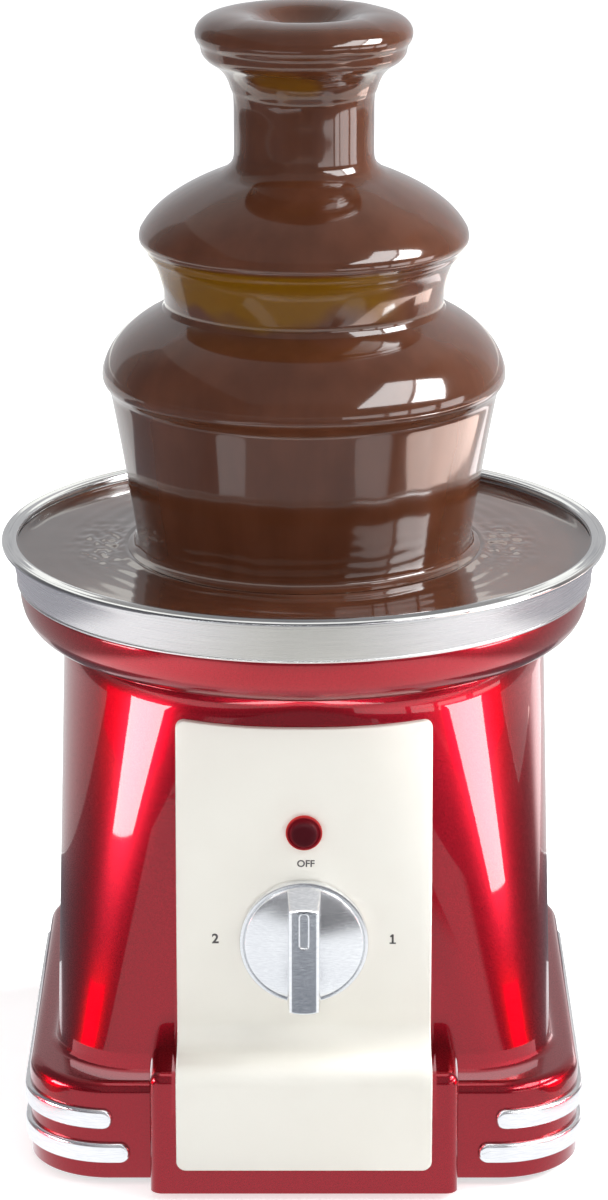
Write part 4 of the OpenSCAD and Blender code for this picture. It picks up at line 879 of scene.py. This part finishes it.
def knobBar():
    k = knob
    bar = bmesh.new()
    bmesh.ops.create_cube(bar, size=2)
    bmesh.ops.scale(bar, vec=(k["barFoot"], k["radius"], (k["bar"] - k["lift"]) / 2), verts=bar.verts)
    bmesh.ops.translate(bar, vec=(0, 0, (k["bar"] + k["lift"]) / 2), verts=bar.verts)
    cuts = [k["groove"]] + [place for place, share in k["barCuts"]]
    sliced(bar, [-c for c in reversed(cuts)] + cuts, 0)
    sliced(bar, [k["grooveFoot"], k["grooveTop"]], 1)
    for v in bar.verts:
        shapeBar(v)
    outward(bar)
    cutGroove(bar)
    front = k["bar"] - slack
    rim = [e for e in bar.edges if all(v.co.z > front for v in e.verts) and len(e.link_faces) == 2
           and any(f.normal.z < 0.95 for f in e.link_faces)
           and any(f.normal.z > 0.95 for f in e.link_faces)]
    lip = [e for e in rim if all(inGroove(v.co.x, v.co.y, slack) for v in e.verts)]
    rounded(bar, [e for e in rim if e not in lip], k["edge"], 3)
    rounded(bar, [e for e in lip if e.is_valid], k["grooveLip"], 2)
    flat = [f for f in bar.faces if f.normal.z > 0.999 and f.calc_center_median().z > front]
    bmesh.ops.inset_region(bar, faces=flat, thickness=k["inset"], use_even_offset=True, use_boundary=True)
    tidy(bar)
    return bar

def makeKnob():
    bm = knobDisc()
    joined(bm, knobBar())
    onFront(bm, panel["knobZ"])
    return bm

toObject(makeKnob(), "knobGrip", "knob", "knob_chrome", ["control_knob"], 28)
print("knob made")

# pilot lens

lamp = {"radius": 6.05, "around": 96, "barrel": 4.75, "back": -5.2, "seat": 0.15,
        "foot": 0.2, "flange": 1.2,
        "steps": [(0, -0.3), (0.12, 0.05), (0.45, 0.25), (0.9, 0.2), (1.05, 0.05), (1.2, 0.15)],
        "dome": 3.3, "domeFrom": (1.35, 0.4), "domeLean": 1.7}

def makeLens():
    g = lamp
    bm = bmesh.new()
    r, barrel, seat, flange = g["radius"], g["barrel"], g["seat"], g["flange"]
    profile = [(0, g["back"]), (barrel, g["back"]), (barrel, seat)]
    profile += [(r - g["foot"], seat), (r, seat + g["foot"])]
    profile += [(r - inset, flange + rise) for inset, rise in g["steps"]]
    inset, rise = g["domeFrom"]
    profile += lean((r - inset, flange + rise), (r - g["domeLean"], g["dome"]), (0, g["dome"]), 12)
    turned(bm, profile, g["around"])
    tidy(bm)
    onFront(bm, panel["lampZ"])
    return bm

toObject(makeLens(), "lampLens", "base", "lens_red", ["lamp_lens"], 50)
print("lens made")

# floor, surroundings and light

stage = {"paper": opaque(0.85, 0.85, 0.85), "paperPale": opaque(0.87, 0.87, 0.87), "ambient": 0.32,
         "near": opaque(0.58, 0.58, 0.58), "far": opaque(0.85, 0.85, 0.85), "half": 6, "drop": 0.0002}

def stageObject(bm, name, material):
    thing = placed(bm, name, material)
    return thing

def makeFloor():
    bm = bmesh.new()
    bmesh.ops.create_grid(bm, x_segments=1, y_segments=1, size=stage["half"])
    bmesh.ops.translate(bm, vec=(0, 0, -stage["drop"]), verts=bm.verts)
    p, material = newPaint("floorPaper")
    tone = p.blend(p.grain(60, 3), stage["paper"], stage["paperPale"])
    seen = p.node("LightPath", {}, {}, "Is Camera Ray")
    lift = p.blend(p.eased(p.radius(), 0.12, 0.5), stage["near"], stage["far"])
    dressed(p, {"Base Color": tone, "Roughness": 0.9, "Specular IOR Level": 0.1, "Emission Color": lift,
                "Emission Strength": seen})
    stageObject(bm, "floor", material)

def makeWorld():
    world = bpy.data.worlds.new("studio")
    bpy.context.scene.world = world
    world.use_nodes = True
    p = Paint(world.node_tree)
    shown = 0.0  # white to the camera and in reflections, dimmer as a light
    for ray in ("Camera", "Glossy", "Transmission"):
        along = p.node("LightPath", {}, {}, "Is " + ray + " Ray")
        shown = p.node("Math", {"operation": "MAXIMUM"}, {0: along, 1: shown})
    p.plug(world.node_tree.nodes["Background"],
           {"Color": opaque(1, 1, 1), "Strength": stage["ambient"] + shown * (1 - stage["ambient"])})

def softbox(name, place, aim, size, watts):  # lamp that leaves no highlight
    data = bpy.data.lights.new(name, "AREA")
    data.shape = "RECTANGLE"
    data.size, data.size_y = size
    data.energy = watts
    box = bpy.data.objects.new(name, data)
    box.location = place
    box.rotation_euler = (Vector(aim) - Vector(place)).to_track_quat("-Z", "Y").to_euler()
    box.visible_glossy = False
    bpy.context.collection.objects.link(box)

def flag(name, corners, shade, strength=1.0, fades=()):  # card that shows only in reflections
    bm = bmesh.new()
    if isinstance(corners, dict):
        turned(bm, [(corners["inner"], corners["z"]), (corners["outer"], corners["z"])], 64)
    else:
        for face in corners if isinstance(corners[0], list) else [corners]:
            bm.faces.new([bm.verts.new(c) for c in face])
    p, material = newPaint(name)
    tone = p.blend(p.grain(3, 2), opaque(*shade), opaque(*[1.08 * c for c in shade]))
    for axis, first, last, end in fades:
        along = p.beside() if axis == "beside" else p.xyz(axis)
        tone = p.blend(p.eased(along, first, last), tone, opaque(*end))
    dressed(p, {"Base Color": opaque(0, 0, 0), "Roughness": 1.0, "Specular IOR Level": 0.0,
                "Emission Color": tone, "Emission Strength": strength})
    card = stageObject(bm, name, material)
    card.visible_camera = card.visible_shadow = card.visible_diffuse = False

makeFloor()
makeWorld()
softbox("rightWindow", (0.95, -0.45, 0.95), (0, -0.02, 0.22), (0.8, 0.7), 4.8)
softbox("leftFill", (-1.1, -0.5, 0.5), (0, -0.02, 0.16), (0.6, 0.6), 3)
softbox("overhead", (0, -0.35, 1.5), (0, 0, 0.2), (1.2, 1.0), 2.1)
softbox("frontFill", (-0.1, -1.6, 0.7), (0, 0, 0.12), (0.9, 0.8), 4.2)
softbox("rightSide", (1.15, 0.3, 0.7), (0, 0, 0.25), (0.6, 0.6), 24)

def upright(x, y0, y1, z0, z1):
    return [(x, y0, z0), (x, y1, z0), (x, y1, z1), (x, y0, z1)]

def level(x0, x1, y0, y1, z):
    return [(x0, y0, z), (x1, y0, z), (x1, y1, z), (x0, y1, z)]

def outline(z, *corners):
    return [(*c, z) for c in corners]

def hugging(first, last, off, low, high):  # strip that follows the body's front
    places = [mix(first, last, i / 8) for i in range(9)]
    rows = [[(x / 1000, frontAt(x, z, off) / 1000, z / 1000) for x in places] for z in (low, high)]
    return [[rows[0][i], rows[0][i + 1], rows[1][i + 1], rows[1][i]] for i in range(8)]

grey, white, pale, red = (0.12, 0.12, 0.13), (1.0, 1.0, 1.0), (1.08, 1.10, 1.13), (1.0, 0.0, 0.03)
flag("darkFloor", level(-1.4, 1.4, -1.8, 0.22, 0.001), (0.16, 0.16, 0.18))
flag("frontLeft",
     outline(0.002, (-0.02, -0.12), (-0.13, -0.12), (-0.90, -0.60), (-0.90, -1.8), (-0.02, -1.8)),
     pale, 1.0, [(1, -0.85, -1.15, grey)])
flag("frontMiddle", level(-0.02, 0.02, -1.8, -0.16, 0.002), (0.16, 0.18, 0.22))
flag("frontRight",
     outline(0.002, (0.02, -0.12), (0.13, -0.12), (0.30, -0.226), (0.30, -1.8), (0.02, -1.8)),
     pale, 1.0, [(1, -0.36, -0.48, grey)])
flag("rightFloor",
     outline(0.003, (0.31, -0.235), (0.31, -0.60), (0.60, -0.35), (0.60, 0.39), (0.47, 0.39),
             (0.48, 0.14), (0.41, -0.105)), (1.0, 0.80, 0.72), 4.2)
flag("rightFence", upright(0.30, -0.62, -0.05, 0.0, 0.066), grey, 1.0, [(1, -0.22, -0.26, pale)])
flag("rightBackFence", upright(0.30, -0.05, 0.40, 0.0, 0.085), grey, 1.0,
     [(1, 0.12, 0.22, (2.2, 2.1, 2.1))])
flag("backFloor", level(-1.4, 1.4, 0.22, 1.5, 0.002), (0.8, 0.8, 0.8))
flag("farWall", [(-1.5, -2.4, 0), (1.5, -2.4, 0), (1.5, -2.4, 1.8), (-1.5, -2.4, 1.8)], (0.16, 0.16, 0.17))
flag("backWall", [(-1.5, 1.5, 0), (1.5, 1.5, 0), (1.5, 1.5, 1.8), (-1.5, 1.5, 1.8)], (0.54, 0.54, 0.55))
flag("leftWall", upright(-1.5, -2.4, 1.5, 0, 1.8), grey, 1.0, [(1, 0.3, 1.5, (0.30, 0.30, 0.30))])
flag("rightWall", upright(1.5, -2.4, 1.5, 0, 1.8), (0.20, 0.19, 0.19), 1.0,
     [(1, 0.3, 1.5, (0.50, 0.46, 0.44))])
flag("ceiling", level(-1.5, 1.5, -2.4, 1.5, 1.8), (0.24, 0.24, 0.25), 1.0,
     [(1, -0.4, 1.4, (0.44, 0.43, 0.42))])
flag("leftGlow", [(-0.42, -0.20, 0.075), (-0.42, -0.09, 0.072), (-0.42, -0.09, 0.164), (-0.42, -0.28, 0.164)],
     white, 17)
flag("rightGlow", [(0.42, -0.15, 0.030), (0.42, -0.07, 0.030), (0.42, -0.07, 0.157), (0.42, -0.24, 0.157)],
     (1.0, 0.98, 0.97), 15)
flag("leftBounce", upright(-0.19, -0.118, -0.068, 0.004, 0.046), red, 6)
flag("rightBounce", upright(0.19, -0.118, -0.068, 0.004, 0.046), red, 6)
flag("leftBlush", upright(-0.425, -0.30, 0.03, 0.10, 0.164), red, 4)
flag("rightBlush", upright(0.425, -0.26, 0.03, 0.10, 0.164), red, 4)
flag("leftEdge", upright(-0.044, -0.125, -0.0872, 0.03, 0.125), pale, 1.2)
flag("rightEdge", upright(0.044, -0.125, -0.0872, 0.03, 0.125), pale, 1.2)
flag("leftFoot", hugging(-80, -52, 1.2, 37.6, 42.5), pale, 1.05)
flag("rightFoot", hugging(52, 80, 1.2, 37.6, 42.5), pale, 1.05)
flag("knobLid", level(-0.009, 0.009, -0.104, -0.0836, 0.1125), (0.75, 0.75, 0.76))
flag("leftLid", level(-0.43, -0.145, -0.30, 0.10, 0.168), (0.2, 0.2, 0.22))
flag("rightLid", level(0.24, 0.43, -0.30, 0.05, 0.166), grey)
flag("bandLid", {"inner": 0.0995, "outer": 0.124, "z": 0.1868}, (0.66, 0.65, 0.61), 1.0,
     [("beside", 0.005, 0.07, (1.08, 1.07, 1.09)), ("beside", 0.072, 0.09, (0.42, 0.42, 0.46))])
flag("collarLid", {"inner": 0.099, "outer": 0.148, "z": 0.170}, (1.5, 1.45, 1.4), 1.0,
     [("beside", 0.02, 0.07, (2.0, 1.9, 1.9)), ("beside", 0.074, 0.09, (0.5, 0.48, 0.48))])
flag("rimGlow", {"inner": 0.112, "outer": 0.165, "z": 0.262}, (1.25, 1.25, 1.2))
flag("ledgeGlow", level(-0.22, 0.22, -0.32, -0.22, 0.20), white, 10)
flag("ledgeLid", level(-0.23, 0.23, -0.33, -0.21, 0.203), grey)
flag("middleLid", level(-0.13, 0.12, -0.50, -0.14, 0.12), (0.42, 0.42, 0.44))
flag("apron", level(-0.16, 0.16, -0.17, 0.10, 0.0025), pale)
flag("paneLeft", [(0.75, -0.40, 1.25), (0.95, -0.15, 1.13), (0.98, -0.58, 0.62), (0.62, -1.05, 0.72)],
     white, 7)
flag("paneRight", [(0.98, -0.12, 1.12), (1.22, 0.15, 0.98), (1.35, -0.10, 0.50), (1.02, -0.53, 0.61)],
     white, 18)
for y in (-0.86, -0.52, -0.16):  # low panes, seen in the neck
    flag("lowPane", upright(0.9, y, y + 0.29, 0.085, 0.30), (1.0, 0.95, 0.95), 3.5)
flag("frontPane", [(0.88, -0.92, 0.085), (0.60, -1.65, 0.085), (0.60, -1.65, 0.30), (0.88, -0.92, 0.30)],
     (1.0, 0.95, 0.95), 2.2)
print("stage and light made")

bpy.context.view_layer.update()
